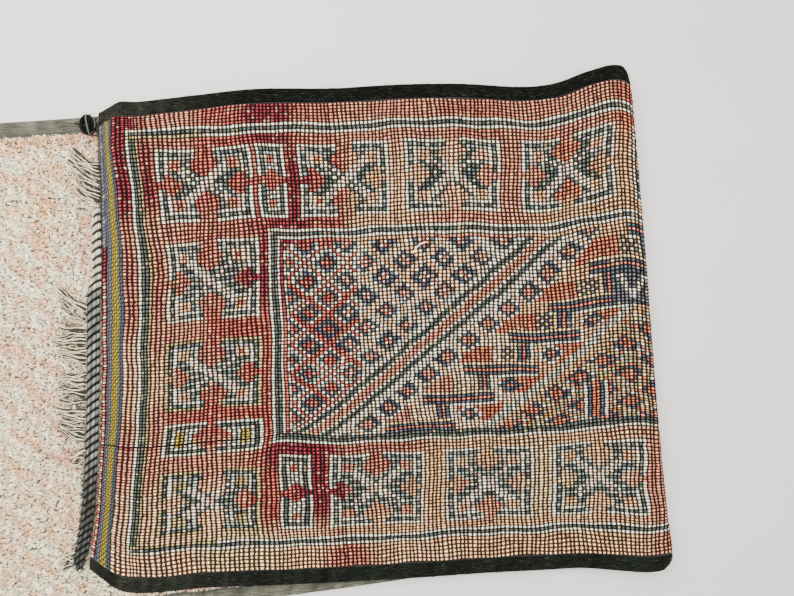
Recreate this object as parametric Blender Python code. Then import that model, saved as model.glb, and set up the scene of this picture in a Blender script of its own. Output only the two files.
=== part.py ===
"""A knotted wool rug, folded over once so that the back of its free end faces up.

The lower layer lies pile side up on the floor. At +X the rug turns over in a round bend, and the
flap comes back over the lower layer. The braid and the fringe are at the flap's end.
Metres. +X runs along the rug towards the fold, +Y across it and +Z up. The origin is on the
floor, under the middle of the folded rug.
"""

from collections import namedtuple
import math

import bmesh
import bpy
from mathutils import Vector

# Sizes of the folded rug
HALF_LENGTH = 0.980
FOLD_HEIGHT = 0.044
FLAP_HEIGHT = 0.0275
FLAP_SETTLE = 0.240
FLAP_END_HEIGHT = 0.0215
END_DROOP = 0.090

# Thicknesses
CLOTH_THICKNESS = 0.012
CLOTH_END_SHARE = 0.42
SELVEDGE_THICKNESS = 0.009
SELVEDGE_END_SHARE = 0.65
FLATWEAVE_LENGTH = 0.055
PILE_RAMP = 0.020

# Widths
SELVEDGE_WIDTH = 0.036
MEAN_WIDTH = 1.24
PIECE_GAP = 0.00045
RIB_HEIGHT = 0.0012

# Cells of the cloth and the selvedges
LOWER_CELLS = 20
BEND_CELLS = 8
FLAP_CELLS = 26
CLOTH_CELLS_ACROSS = 12
SELVEDGE_CELLS_ACROSS = 4

# The outline's edges, far at +Y and near at -Y, along X
Edge = namedtuple("Edge", "x far near")

LOWER_EDGES = [
    Edge(-0.980, 0.5580, -0.6735),
    Edge(-0.680, 0.5655, -0.6735),
    Edge(-0.487, 0.5745, -0.6710),
    Edge(-0.200, 0.5900, -0.6620),
    Edge(0.017, 0.6000, -0.6505),
    Edge(0.218, 0.6080, -0.6385),
    Edge(0.372, 0.6120, -0.6275),
    Edge(0.600, 0.6120, -0.6180),
    Edge(0.800, 0.6300, -0.6280),
    Edge(0.900, 0.6600, -0.6440),
    Edge(0.980, 0.6450, -0.6440),
]

FLAP_EDGES = [
    Edge(-0.490, 0.5400, -0.5450),
    Edge(-0.449, 0.5690, -0.5805),
    Edge(-0.405, 0.6045, -0.6050),
    Edge(-0.336, 0.6060, -0.6120),
    Edge(-0.210, 0.6185, -0.6100),
    Edge(-0.045, 0.6335, -0.6160),
    Edge(0.150, 0.6315, -0.6215),
    Edge(0.326, 0.6385, -0.6250),
    Edge(0.491, 0.6375, -0.6260),
    Edge(0.645, 0.6265, -0.6295),
    Edge(0.740, 0.6330, -0.6305),
    Edge(0.827, 0.6595, -0.6400),
    Edge(0.910, 0.6735, -0.6495),
    Edge(0.980, 0.6300, -0.6440),
]

# X of a line across the rug, by the share of the width from the near edge
Across = namedtuple("Across", "share x")

FOLD_LINE = [
    Across(0.00, 0.962),
    Across(0.02, 0.980),
    Across(0.10, 0.974),
    Across(0.25, 0.966),
    Across(0.45, 0.960),
    Across(0.65, 0.956),
    Across(0.85, 0.949),
    Across(0.97, 0.943),
    Across(1.00, 0.934),
]

FLAP_END = [
    Across(0.00, -0.488),
    Across(0.02, -0.487),
    Across(0.16, -0.464),
    Across(0.37, -0.448),
    Across(0.60, -0.439),
    Across(0.70, -0.436),
    Across(0.85, -0.434),
    Across(1.00, -0.436),
]

# Soft rises in the flap
Rise = namedtuple("Rise", "x y spread height")

RISES = [
    Rise(0.84, 0.60, 0.110, 0.0090),
    Rise(0.80, -0.60, 0.120, 0.0040),
    Rise(0.42, 0.30, 0.220, 0.0030),
    Rise(0.05, -0.38, 0.200, 0.0035),
    Rise(-0.26, 0.40, 0.160, 0.0030),
]

# The braid of warp ends
BRAID_WIDTH = 0.038
BRAID_THICKNESS = 0.0140
BRAID_BASE = 0.0165
BRAID_FIRST_SHARE = 0.004
BRAID_LAST_SHARE = 0.795
BRAID_TURNS = 44
BRAID_SIDES = 8
BRAID_VALLEY = 0.86
BRAID_SLANT = 0.014
BRAID_SLIM_SHARE = 0.62
BRAID_SLIM_FROM = 0.13
BRAID_SLIM_OVER = 0.06
END_GAP = 0.0016

# The fringe
STRIP_THICKNESS = 0.0025
STRIP_WIDTH = 0.008
STRAND_WIDTH = 0.0034
STRAND_TIP_SHARE = 0.50
STRAND_STEPS = 4
STRAND_PITCH = 0.0066
PILE_CLEARANCE = 0.0005

# A tuft of the fringe: where it starts and ends across the rug, how long its strands are, how
# far they lean towards the far edge at their tips, and how much the tuft spreads there
Tuft = namedtuple("Tuft", "first last length lean spread")

FAR_TUFTS = [
    Tuft(0.350, 0.395, 0.058, 0.024, 0.85),
    Tuft(0.400, 0.455, 0.078, 0.040, 0.85),
]

NEAR_TUFTS = [
    Tuft(-0.530, -0.495, 0.044, -0.026, 0.85),
    Tuft(-0.370, -0.295, 0.018, -0.004, 1.00),
    Tuft(-0.285, -0.252, 0.046, -0.014, 0.85),
    Tuft(-0.240, -0.158, 0.090, 0.020, 0.72),
    Tuft(-0.145, -0.065, 0.084, 0.004, 0.85),
    Tuft(-0.055, 0.045, 0.092, 0.010, 0.80),
    Tuft(0.058, 0.098, 0.090, 0.050, 0.90),
]

# The knotted tuft at the far corner
KNOT_CENTRE = (-0.4610, 0.5500, 0.0240)
KNOT_RADII = (0.0215, 0.0280, 0.0105)
KNOT_RIDGES = 3
KNOT_RIDGE_DEPTH = 0.10
KNOT_TAILS = 3
KNOT_TAIL_LENGTH = 0.024
KNOT_TAIL_STEPS = 2
KNOT_TAIL_TAPER = 0.8


def read_table(rows, key, column, at):
    """A smooth curve through one column of a table's rows, read at one place."""
    keys = [getattr(row, key) for row in rows]
    values = [getattr(row, column) for row in rows]
    if at <= keys[0]:
        return values[0]
    if at >= keys[-1]:
        return values[-1]
    i = max(k for k in range(len(keys) - 1) if keys[k] <= at)
    slopes = []
    for k in (i, i + 1):
        low, high = max(k - 1, 0), min(k + 1, len(keys) - 1)
        slopes.append((values[high] - values[low]) / (keys[high] - keys[low]))
    span = keys[i + 1] - keys[i]
    t = (at - keys[i]) / span
    start = (1 + 2 * t) * (1 - t) ** 2 * values[i] + t * (1 - t) ** 2 * span * slopes[0]
    end = t * t * (3 - 2 * t) * values[i + 1] + t * t * (t - 1) * span * slopes[1]
    return start + end


def smooth_step(t):
    """0 below 0, 1 above 1, and a soft step between."""
    t = min(max(t, 0.0), 1.0)
    return t * t * (3 - 2 * t)


def across(edges, x, share):
    """Y at a share of the width between the near and the far edge."""
    near = read_table(edges, "x", "near", x)
    far = read_table(edges, "x", "far", x)
    return near + (far - near) * share


def flap_height(x, y, share):
    """Height of the flap's back: high at the fold, settled over the lower layer, low at its end."""
    from_fold = read_table(FOLD_LINE, "share", "x", share) - FOLD_HEIGHT / 2 - x
    height = FOLD_HEIGHT + (FLAP_HEIGHT - FOLD_HEIGHT) * smooth_step(from_fold / FLAP_SETTLE)
    for rise in RISES:
        distance = math.hypot(x - rise.x, y - rise.y) / rise.spread
        fade = smooth_step(from_fold / rise.spread)
        height += fade * rise.height * math.exp(-distance * distance)
    from_end = x - read_table(FLAP_END, "share", "x", share)
    droop = 1 - smooth_step(from_end / END_DROOP)
    return height + (FLAP_END_HEIGHT - height) * droop


def lower_point(t, share):
    """The lower layer's underside, from its own end at t = 0 to the fold at t = 1."""
    fold = read_table(FOLD_LINE, "share", "x", share) - FOLD_HEIGHT / 2
    x = -HALF_LENGTH + (fold + HALF_LENGTH) * t
    return Vector((x, across(LOWER_EDGES, x, share), 0.0))


def bend_point(t, share):
    """The outside of the round bend, from the floor at t = 0 to its top at t = 1."""
    radius = FOLD_HEIGHT / 2
    angle = math.pi * t
    x = read_table(FOLD_LINE, "share", "x", share) - radius + radius * math.sin(angle)
    low, high = across(LOWER_EDGES, x, share), across(FLAP_EDGES, x, share)
    return Vector((x, low + (high - low) * t, radius * (1 - math.cos(angle))))


def flap_point(t, share):
    """The flap's back, from the fold at t = 0 to its free end at t = 1."""
    fold = read_table(FOLD_LINE, "share", "x", share) - FOLD_HEIGHT / 2
    x = fold + (read_table(FLAP_END, "share", "x", share) - fold) * t
    y = across(FLAP_EDGES, x, share)
    return Vector((x, y, flap_height(x, y, share)))


def stations():
    """The places along the rug where its section is set: a function and its t, in order."""
    lower_length = HALF_LENGTH * 2 - FOLD_HEIGHT / 2
    flap_length = HALF_LENGTH - FOLD_HEIGHT / 2 - FLAP_END[0].x
    ends = [0.0, FLATWEAVE_LENGTH / 2, FLATWEAVE_LENGTH, FLATWEAVE_LENGTH + PILE_RAMP]
    places = [(lower_point, end / lower_length) for end in ends]
    first = ends[-1] / lower_length
    for i in range(1, LOWER_CELLS):
        places.append((lower_point, first + (1 - first) * i / LOWER_CELLS))
    places += [(bend_point, i / BEND_CELLS) for i in range(BEND_CELLS + 1)]
    last = 1 - ends[-1] / flap_length
    places += [(flap_point, last * i / FLAP_CELLS) for i in range(1, FLAP_CELLS)]
    places += [(flap_point, 1 - end / flap_length) for end in reversed(ends)]
    return places


def thickness_share(place, end_share):
    """Full thickness in the knotted cloth, and end_share of it in the flat-woven end bands."""
    function, t = place
    if function is bend_point:
        return 1.0
    if function is lower_point:
        from_end = t * (HALF_LENGTH * 2 - FOLD_HEIGHT / 2)
    else:
        from_end = (1 - t) * (HALF_LENGTH - FOLD_HEIGHT / 2 - FLAP_END[0].x)
    ramp = smooth_step((from_end - FLATWEAVE_LENGTH) / PILE_RAMP)
    return end_share + (1 - end_share) * ramp


def rib(place, cell):
    """How far a selvedge's valley between two ribs lies under its crests, on the flap only."""
    function, t = place
    if function is lower_point or cell % 2 == 0:
        return 0.0
    return RIB_HEIGHT * (t if function is bend_point else 1.0)


def new_object(name, mesh, material):
    """An object in the rug's collection, with its material."""
    ob = bpy.data.objects.new(name, mesh)
    bpy.data.collections["wool_rug"].objects.link(ob)
    mesh.materials.append(material)
    return ob


def pile_direction(place):
    """The way from the back to the pile side: up in the lower layer, down in the flap."""
    function, t = place
    if function is bend_point:
        return Vector((-math.sin(math.pi * t), 0, math.cos(math.pi * t)))
    return Vector((0, 0, 1 if function is lower_point else -1))


def folded_strip(name, shares, cells, thickness, end_share, ribbed, material):
    """A strip of the folded rug between two shares of its width: a grid laid on the back's
    surface, and thickened towards the pile."""
    places = stations()
    bm = bmesh.new()
    bmesh.ops.create_grid(bm, x_segments=len(places) - 1, y_segments=cells, size=1)
    at = bm.verts.layers.int.new("station")
    for vert in bm.verts:
        vert[at] = round((vert.co.x + 1) / 2 * (len(places) - 1))
        cell = round((vert.co.y + 1) / 2 * cells)
        function, t = places[vert[at]]
        vert.co = function(t, shares[0] + (shares[1] - shares[0]) * cell / cells)
        if ribbed:
            vert.co.z -= rib(places[vert[at]], cell)
    pile_side = bmesh.ops.extrude_face_region(bm, geom=bm.faces[:])["geom"]
    for vert in pile_side:
        if isinstance(vert, bmesh.types.BMVert):
            place = places[vert[at]]
            vert.co += pile_direction(place) * thickness * thickness_share(place, end_share)
    bmesh.ops.recalc_face_normals(bm, faces=bm.faces)
    mesh = bpy.data.meshes.new(name)
    bm.to_mesh(mesh)
    bm.free()
    return new_object(name, mesh, material)


def loft(bm, rings):
    """A closed tube through rings of points, with flat ends, and its side faces ring by ring."""
    loops = [[bm.verts.new(point) for point in ring] for ring in rings]
    sides = len(loops[0])
    faces = []
    for low, high in zip(loops, loops[1:]):
        faces.append([])
        for i in range(sides):
            following = (i + 1) % sides
            face = bm.faces.new((low[i], low[following], high[following], high[i]))
            faces[-1].append(face)
    bm.faces.new(list(reversed(loops[0])))
    bm.faces.new(loops[-1])
    return faces


def end_share_at(y):
    """The share of the width at which the flap's end passes Y."""
    low, high = 0.0, 1.0
    for _ in range(30):
        middle = (low + high) / 2
        if flap_point(1.0, middle).y < y:
            low = middle
        else:
            high = middle
    return (low + high) / 2


def end_braid(material):
    """The thick braid along the flap's end, with a slanted ridge for each turn of its yarn. It
    is slimmer towards the far edge."""
    rings = []
    steps = BRAID_TURNS * 2
    for k in range(steps + 1):
        share = BRAID_FIRST_SHARE + (BRAID_LAST_SHARE - BRAID_FIRST_SHARE) * k / steps
        edge = flap_point(1.0, share)
        size = 1.0 if k % 2 else BRAID_VALLEY
        taper = min(1.0, 0.45 + 0.55 * min(k, steps - k) / 4)
        slim = 1 - (1 - BRAID_SLIM_SHARE) * smooth_step((edge.y - BRAID_SLIM_FROM) / BRAID_SLIM_OVER)
        half = BRAID_WIDTH / 2 * slim
        ring = []
        for side in range(BRAID_SIDES):
            angle = 2 * math.pi * (side + 0.5) / BRAID_SIDES
            x = size * taper * half * math.cos(angle) / math.cos(math.pi / BRAID_SIDES)
            z = size * taper * BRAID_THICKNESS / 2 * math.sin(angle) / math.cos(math.pi / BRAID_SIDES)
            y = edge.y + BRAID_SLANT * x / half * taper * slim
            beside = flap_point(1.0, end_share_at(y)).x - END_GAP - half
            ring.append((beside + x, y, BRAID_BASE + BRAID_THICKNESS / 2 + z))
        rings.append(ring)
    bm = bmesh.new()
    loft(bm, rings)
    bmesh.ops.recalc_face_normals(bm, faces=bm.faces)
    mesh = bpy.data.meshes.new("end_braid")
    bm.to_mesh(mesh)
    bm.free()
    return new_object("end_braid", mesh, material)


def strand_roots(tufts):
    """Where the strip's strands start and end across the rug, with each strand's tuft."""
    roots = []
    for tuft in tufts:
        count = round((tuft.last - tuft.first) / STRAND_PITCH)
        for i in range(count):
            y = tuft.first + (i + 0.5) * (tuft.last - tuft.first) / count
            roots.append((y - STRAND_WIDTH / 2, y + STRAND_WIDTH / 2, tuft))
    return roots


def fringe(name, tufts, setback, base, material):
    """Strands pulled out of one long side of a narrow strip, which lies along the flap's end.
    They come down on the pile and lie level there, apart from each other."""
    roots = strand_roots(tufts)
    ys = [roots[0][0] - 0.004]
    for first, last, _ in roots:
        ys += [first, last]
    ys.append(roots[-1][1] + 0.004)
    rings = []
    for y in ys:
        outer = flap_point(1.0, end_share_at(y)).x - setback - STRIP_WIDTH
        inner = outer + STRIP_WIDTH
        top = base + STRIP_THICKNESS
        rings.append([(outer, y, base), (inner, y, base), (inner, y, top), (outer, y, top)])
    bm = bmesh.new()
    sides = loft(bm, rings)
    for k, (first, last, tuft) in enumerate(roots):
        face = sides[2 * k + 1][3]
        y0 = (first + last) / 2
        middle = (tuft.first + tuft.last) / 2
        wobble = math.sin(k * 2.4)
        length = tuft.length * (0.85 + 0.15 * wobble)
        x0 = face.calc_center_median().x
        for step in range(1, STRAND_STEPS + 1):
            t = step / STRAND_STEPS
            face = bmesh.ops.extrude_discrete_faces(bm, faces=[face])["faces"][0]
            size = 1 + (STRAND_TIP_SHARE - 1) * t
            x = x0 - length * t
            y = y0 + (middle - y0) * (1 - tuft.spread) * t + tuft.lean * t * t
            rest = CLOTH_THICKNESS + PILE_CLEARANCE
            low = base + (rest - base) * min(1.0, 2 * t)
            for vert in face.verts:
                is_high = vert.co.z > face.calc_center_median().z
                is_far = vert.co.y > face.calc_center_median().y
                vert.tag = is_high
                vert.index = 1 if is_far else 0
            for vert in face.verts:
                side = STRAND_WIDTH / 2 * size * (1 if vert.index else -1)
                vert.co = Vector((x, y + side, low + (STRIP_THICKNESS * size if vert.tag else 0.0)))
    bmesh.ops.recalc_face_normals(bm, faces=bm.faces)
    mesh = bpy.data.meshes.new(name)
    bm.to_mesh(mesh)
    bm.free()
    return new_object(name, mesh, material)


def corner_knot(material):
    """A squashed knot of yarn with wound ridges and a few short tails."""
    bm = bmesh.new()
    bmesh.ops.create_uvsphere(bm, u_segments=14, v_segments=8, radius=1)
    for vert in bm.verts:
        angle = math.atan2(vert.co.y, vert.co.x) + vert.co.z * 2.0
        ridge = 1 - KNOT_RIDGE_DEPTH * (0.5 + 0.5 * math.cos(KNOT_RIDGES * angle))
        place = [c + r * v * ridge for c, r, v in zip(KNOT_CENTRE, KNOT_RADII, vert.co)]
        vert.co = Vector(place)
    bm.faces.ensure_lookup_table()
    middle = Vector(KNOT_CENTRE)
    outward = [f for f in bm.faces if f.calc_center_median().x < middle.x - KNOT_RADII[0] * 0.70]
    outward.sort(key=lambda f: abs(f.calc_center_median().z - middle.z))
    for face in outward[:KNOT_TAILS]:
        away = face.calc_center_median() - middle
        away.z = 0
        for _ in range(KNOT_TAIL_STEPS):
            face = bmesh.ops.extrude_discrete_faces(bm, faces=[face])["faces"][0]
            centre = face.calc_center_median()
            for vert in face.verts:
                vert.co = centre + (vert.co - centre) * KNOT_TAIL_TAPER
                vert.co += away.normalized() * KNOT_TAIL_LENGTH / KNOT_TAIL_STEPS
    mesh = bpy.data.meshes.new("corner_knot")
    bm.to_mesh(mesh)
    bm.free()
    return new_object("corner_knot", mesh, material)


def wool(name, colour, roughness):
    """A matt wool finish in one colour, as linear red, green and blue."""
    material = bpy.data.materials.new(name)
    material.use_nodes = True
    shader = material.node_tree.nodes["Principled BSDF"]
    shader.inputs["Base Color"].default_value = (*colour, 1)
    shader.inputs["Roughness"].default_value = roughness
    shader.inputs["Metallic"].default_value = 0
    return material


def build():
    for ob in list(bpy.data.objects):
        bpy.data.objects.remove(ob)
    bpy.context.scene.collection.children.link(bpy.data.collections.new("wool_rug"))
    knotted = wool("knotted_wool", (0.42, 0.16, 0.12), 0.95)
    goat_hair = wool("goat_hair_selvedge", (0.012, 0.017, 0.014), 0.85)
    plied = wool("plied_grey_wool", (0.09, 0.09, 0.08), 0.90)
    warp = wool("cream_warp_yarn", (0.60, 0.50, 0.34), 0.90)
    edge = SELVEDGE_WIDTH / MEAN_WIDTH
    gap = PIECE_GAP / MEAN_WIDTH
    folded_strip("rug_cloth", (edge + gap, 1 - edge - gap), CLOTH_CELLS_ACROSS, CLOTH_THICKNESS,
                 CLOTH_END_SHARE, False, knotted)
    for name, shares in (("selvedge_near", (0.0, edge)), ("selvedge_far", (1 - edge, 1.0))):
        folded_strip(name, shares, SELVEDGE_CELLS_ACROSS, SELVEDGE_THICKNESS,
                     SELVEDGE_END_SHARE, True, goat_hair)
    end_braid(plied)
    end_underside = FLAP_END_HEIGHT - CLOTH_THICKNESS * CLOTH_END_SHARE
    fringe("fringe_far", FAR_TUFTS, END_GAP, end_underside, warp)
    under_braid = BRAID_WIDTH - STRIP_WIDTH
    fringe("fringe_near", NEAR_TUFTS, under_braid, CLOTH_THICKNESS + PILE_CLEARANCE, warp)
    corner_knot(goat_hair)


build()
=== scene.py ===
"""The looks of a folded, hand-knotted wool rug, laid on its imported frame.

The flap shows the back of the knots, with the pattern charted knot by knot from a few rules. The
lower layer shows its cut pile. Metres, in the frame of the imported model: +X along the rug towards
the fold, +Y across it and +Z up.
"""

from collections import namedtuple
import math

import bpy
from mathutils import Matrix, Vector
import numpy as np


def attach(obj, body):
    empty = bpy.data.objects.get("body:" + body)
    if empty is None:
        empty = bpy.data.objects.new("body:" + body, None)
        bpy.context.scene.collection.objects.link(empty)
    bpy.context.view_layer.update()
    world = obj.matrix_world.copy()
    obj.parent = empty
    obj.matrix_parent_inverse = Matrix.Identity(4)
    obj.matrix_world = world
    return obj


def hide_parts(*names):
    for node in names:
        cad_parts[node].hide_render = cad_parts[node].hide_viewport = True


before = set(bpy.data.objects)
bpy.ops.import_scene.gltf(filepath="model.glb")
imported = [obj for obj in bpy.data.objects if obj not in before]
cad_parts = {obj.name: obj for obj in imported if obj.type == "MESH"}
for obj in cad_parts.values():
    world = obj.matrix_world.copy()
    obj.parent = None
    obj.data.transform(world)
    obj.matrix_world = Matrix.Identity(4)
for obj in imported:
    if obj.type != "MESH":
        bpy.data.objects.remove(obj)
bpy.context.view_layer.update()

bl_info = {
    "name": "Folded wool rug",
    "version": (1, 0, 0),
    "blender": (4, 5, 0),
    "location": "View3D > Sidebar > Rug",
    "description": "Builds a folded wool rug: knots, pile, bands, selvedges, braid and fringe",
    "category": "Object",
}

# The folded rug's sizes, the same as the frame's
HALF_LENGTH = 0.980
FOLD_HEIGHT = 0.044
BEND_RADIUS = FOLD_HEIGHT / 2
FLAP_HEIGHT = 0.0275
FLAP_SETTLE = 0.240
FLAP_END_HEIGHT = 0.0215
END_DROOP = 0.090
CLOTH_THICKNESS = 0.012
CLOTH_END_SHARE = 0.42
SELVEDGE_THICKNESS = 0.009
SELVEDGE_END_SHARE = 0.65
FLATWEAVE_LENGTH = 0.055
PILE_RAMP = 0.020
PILE_START = FLATWEAVE_LENGTH + PILE_RAMP * 0.6
SELVEDGE_SHARE = 0.036 / 1.24

# No point lies lower than this, so that nothing touches the floor
CLOTH_LOWEST = 0.0002
YARN_LOWEST = 0.0003
KNOT_LOWEST = 0.0004

# The size that the rug was woven to, before it was folded
WOVEN_WIDTH = 1.25

# The far and the near edge of the lower layer and of the flap, as Y along X
Edge = namedtuple("Edge", "x far near")

LOWER_EDGES = [Edge(*row) for row in (
    (-0.980, 0.5580, -0.6735), (-0.680, 0.5655, -0.6735), (-0.487, 0.5745, -0.6710),
    (-0.200, 0.5900, -0.6620), (0.017, 0.6000, -0.6505), (0.218, 0.6080, -0.6385),
    (0.372, 0.6120, -0.6275), (0.600, 0.6120, -0.6180), (0.800, 0.6300, -0.6280),
    (0.900, 0.6600, -0.6440), (0.980, 0.6450, -0.6440),
)]

FLAP_EDGES = [Edge(*row) for row in (
    (-0.490, 0.5400, -0.5450), (-0.449, 0.5690, -0.5805), (-0.405, 0.6045, -0.6050),
    (-0.336, 0.6060, -0.6120), (-0.210, 0.6185, -0.6100), (-0.045, 0.6335, -0.6160),
    (0.150, 0.6315, -0.6215), (0.326, 0.6385, -0.6250), (0.491, 0.6375, -0.6260),
    (0.645, 0.6265, -0.6295), (0.740, 0.6330, -0.6305), (0.827, 0.6595, -0.6400),
    (0.910, 0.6735, -0.6495), (0.980, 0.6300, -0.6440),
)]

# The fold and the flap's end, as X by the share of the width from the near edge
Across = namedtuple("Across", "share x")

FOLD_LINE = [Across(*row) for row in (
    (0.00, 0.962), (0.02, 0.980), (0.10, 0.974), (0.25, 0.966), (0.45, 0.960), (0.65, 0.956),
    (0.85, 0.949), (0.97, 0.943), (1.00, 0.934),
)]

FLAP_END = [Across(*row) for row in (
    (0.00, -0.488), (0.02, -0.487), (0.16, -0.464), (0.37, -0.448), (0.60, -0.439), (0.70, -0.436),
    (0.85, -0.434), (1.00, -0.436),
)]

# Where the flap doesn't lie flat but rises softly
Rise = namedtuple("Rise", "x y spread height")

RISES = [Rise(*row) for row in (
    (0.84, 0.60, 0.110, 0.0090), (0.80, -0.60, 0.120, 0.0040), (0.42, 0.30, 0.220, 0.0030),
    (0.05, -0.38, 0.200, 0.0035), (-0.26, 0.40, 0.160, 0.0030),
)]

# The knots: rows lie across the rug and are counted from the flap's end
FIRST_ROW = -9
KNOTS_ACROSS = 140
# The beads beside the braid are this many rows long, and they start at this knot with crimson
# ones
END_BEAD_ROWS = 2
END_BEADS_FROM = 36
CRIMSON_BEADS = 8
# The back of the knots is two pieces, which meet at this row; the last row is under the bend
SPLIT_ROW = 62
LAST_ROW = 134
BEND_ROW_PITCH = 0.0112

# Where the rows of knots lie along the rug
RowLine = namedtuple("RowLine", "row x")

ROW_LINES = [RowLine(*row) for row in (
    (0, -0.397), (3, -0.360), (4, -0.3515), (6, -0.338), (7, -0.330), (10, -0.296), (32, -0.056),
    (34, -0.034), (40, 0.018), (44, 0.059), (66, 0.289), (70, 0.328), (93, 0.576), (98, 0.632),
    (121, 0.887), (125, 0.931),
)]

# Where the knots lie across the rug, as Y at MEASURED_X
MEASURED_X = 0.45
KnotLine = namedtuple("KnotLine", "knot y")

KNOT_LINES = [KnotLine(*row) for row in (
    (0, 0.599), (6, 0.550), (9, 0.521), (12, 0.494), (32, 0.302), (35, 0.273), (40, 0.2265),
    (54, 0.093), (73, -0.065), (93, -0.223), (98, -0.258), (101, -0.281), (104, -0.306),
    (128, -0.487), (131, -0.507), (134, -0.530), (140, -0.586),
)]

# How far a row of knots is pulled towards the flap's end, by Y; it fades out towards BOW_END_X
BOW_END_X = 0.0
BowLine = namedtuple("BowLine", "y shift")

ROW_BOW = [BowLine(*row) for row in (
    (-0.53, -0.043), (-0.42, -0.033), (-0.31, -0.021), (-0.22, -0.008), (-0.13, 0.001),
    (0.02, 0.006), (0.12, 0.010), (0.26, 0.009), (0.40, -0.001), (0.50, -0.011),
)]

# Where the weaving is pulled askew: the middle of the place and its reach, in rows and knots,
# and how far it is pulled towards the fold and towards the far edge
Pull = namedtuple("Pull", "row knot rows knots along over")

PULLS = [Pull(*row) for row in (
    (6, 10, 13, 26, 0.0, 0.014), (11, 48, 6, 14, 0.011, 0.0), (36, 6, 8, 14, -0.013, 0.0),
    (34, 60, 5, 28, 0.006, 0.0), (30, 118, 8, 12, -0.006, 0.0), (92, 8, 10, 12, 0.007, 0.0),
    (120, 30, 12, 10, -0.009, 0.0), (71, 104, 8, 10, 0.010, 0.0), (102, 108, 8, 14, 0.013, 0.0),
    (38, 100, 7, 5, 0.0, 0.012), (122, 98, 16, 6, 0.0, 0.015),
)]

# The camera, as fitted to the photograph
CAMERA_PLACE = (0.183, 0.031, 1.558)
CAMERA_FORWARD = (0.07186, 0.03429, -0.99683)
CAMERA_RIGHT = (0.99650, -0.04528, 0.07028)
CAMERA_LENS_MM = 27.2


def linear(hex_colour):
    """An sRGB hex value as linear red, green and blue."""
    parts = [int(hex_colour[k:k + 2], 16) / 255 for k in (0, 2, 4)]
    return tuple(c / 12.92 if c <= 0.04045 else ((c + 0.055) / 1.055) ** 2.4 for c in parts)


def dye(name, hex_colour, description):
    """A colour that a user may change."""
    return bpy.props.FloatVectorProperty(
        name=name, description=description, subtype="COLOR", size=3, min=0.0, max=1.0,
        default=linear(hex_colour),
    )


def length(name, metres, description):
    """A size that a user may change."""
    return bpy.props.FloatProperty(
        name=name, description=description, subtype="DISTANCE", unit="LENGTH", min=0.0,
        default=metres,
    )


class RugColours(bpy.types.PropertyGroup):
    """The dyed and natural wools of the rug."""

    crimson: dye("Crimson", "67202A", "Madder red, least faded")
    red: dye("Red", "96443A", "Madder red of the lattice and between the squares")
    rose: dye("Rose", "9B5847", "Faded madder of the border")
    salmon: dye("Salmon", "AC6C56", "Faded orange red")
    peach: dye("Peach", "D09A74", "Pale orange of the field")
    tan: dye("Tan", "BA8C64", "Camel ground towards the fold")
    beige: dye("Beige", "C2A176", "Palest camel ground")
    rust: dye("Rust", "A4573E", "Orange red towards the fold")
    cream: dye("Cream", "D2C9AE", "Undyed white wool")
    shell: dye("Shell", "CFA694", "Pale pink of the crosses in the squares")
    grey_green: dye("Grey green", "7F857B", "Faded green of the squares")
    bottle: dye("Bottle green", "3F4641", "Dark green of the frames")
    navy: dye("Navy", "3A4148", "Indigo of the rosettes and the stepped border")
    gold: dye("Gold", "8F8256", "Faded yellow of the guard lines")
    mustard: dye("Mustard", "82712A", "Yellow band at the flap's end")
    slate: dye("Slate", "4C4E53", "Blue grey of the flat-woven end")
    weft: dye("Weft", "0F0906", "Dark wefts between the rows of knots")
    goat_hair: dye("Goat hair", "090C08", "Dark selvedges of the flap")
    felt: dye("Felted hair", "56564A", "Grey felted selvedges of the lower layer")
    braid_grey: dye("Braid grey", "6E6F66", "Plied warp ends in the braid")
    braid_cream: dye("Braid cream", "D2C8AE", "Pale warp ends in the braid")
    warp: dye("Warp", "F8ECC8", "Undyed yarn of the fringe")
    pile_cream: dye("Pile cream", "FBECC9", "Palest tips of the pile")
    pile_peach: dye("Pile peach", "E8B27A", "Peach tips of the pile")
    pile_rose: dye("Pile rose", "CC7860", "Rose tips of the pile")


class RugSizes(bpy.types.PropertyGroup):
    """The sizes of the rug's yarns."""

    bead_height: length("Knot height", 0.0016, "Height of a knot's back over its wefts")
    body_depth: length("Foundation depth", 0.0012, "How far the foundation lies under the frame")
    pile_height: length("Pile height", 0.0062, "Length of a cut tuft")
    pile_pitch_along: length("Tuft pitch along", 0.0060, "Spacing of tufts along the rug")
    pile_pitch_across: length("Tuft pitch across", 0.0064, "Spacing of tufts across the rug")
    pile_hair: length("Pile hair", 0.0115, "Length of the loose hairs on the pile")
    strand_radius: length("Warp radius", 0.00145, "Radius of a loose warp yarn")
    clump_pitch: length("Clump pitch", 0.0090, "Spacing of the clumps of loose warp yarns")


class RugSettings(bpy.types.PropertyGroup):
    """Everything about the rug that a user may change."""

    colours: bpy.props.PointerProperty(type=RugColours)
    sizes: bpy.props.PointerProperty(type=RugSizes)


def read_table(rows, key, column, at):
    """A smooth curve through one column of a table's rows, read at many places."""
    keys = np.array([getattr(row, key) for row in rows])
    values = np.array([getattr(row, column) for row in rows])
    at = np.clip(at, keys[0], keys[-1])
    order = np.arange(len(keys))
    low = np.maximum(order - 1, 0)
    high = np.minimum(order + 1, len(keys) - 1)
    slopes = (values[high] - values[low]) / (keys[high] - keys[low])
    i = np.clip(np.searchsorted(keys, at, side="right") - 1, 0, len(keys) - 2)
    span = keys[i + 1] - keys[i]
    t = (at - keys[i]) / span
    start = (1 + 2 * t) * (1 - t) ** 2 * values[i] + t * (1 - t) ** 2 * span * slopes[i]
    end = t * t * (3 - 2 * t) * values[i + 1] + t * t * (t - 1) * span * slopes[i + 1]
    return start + end


def read_straight(rows, key, column, at):
    """Straight lines through one column of a table's rows, read at many places."""
    keys = [getattr(row, key) for row in rows]
    return np.interp(at, keys, [getattr(row, column) for row in rows])


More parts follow.
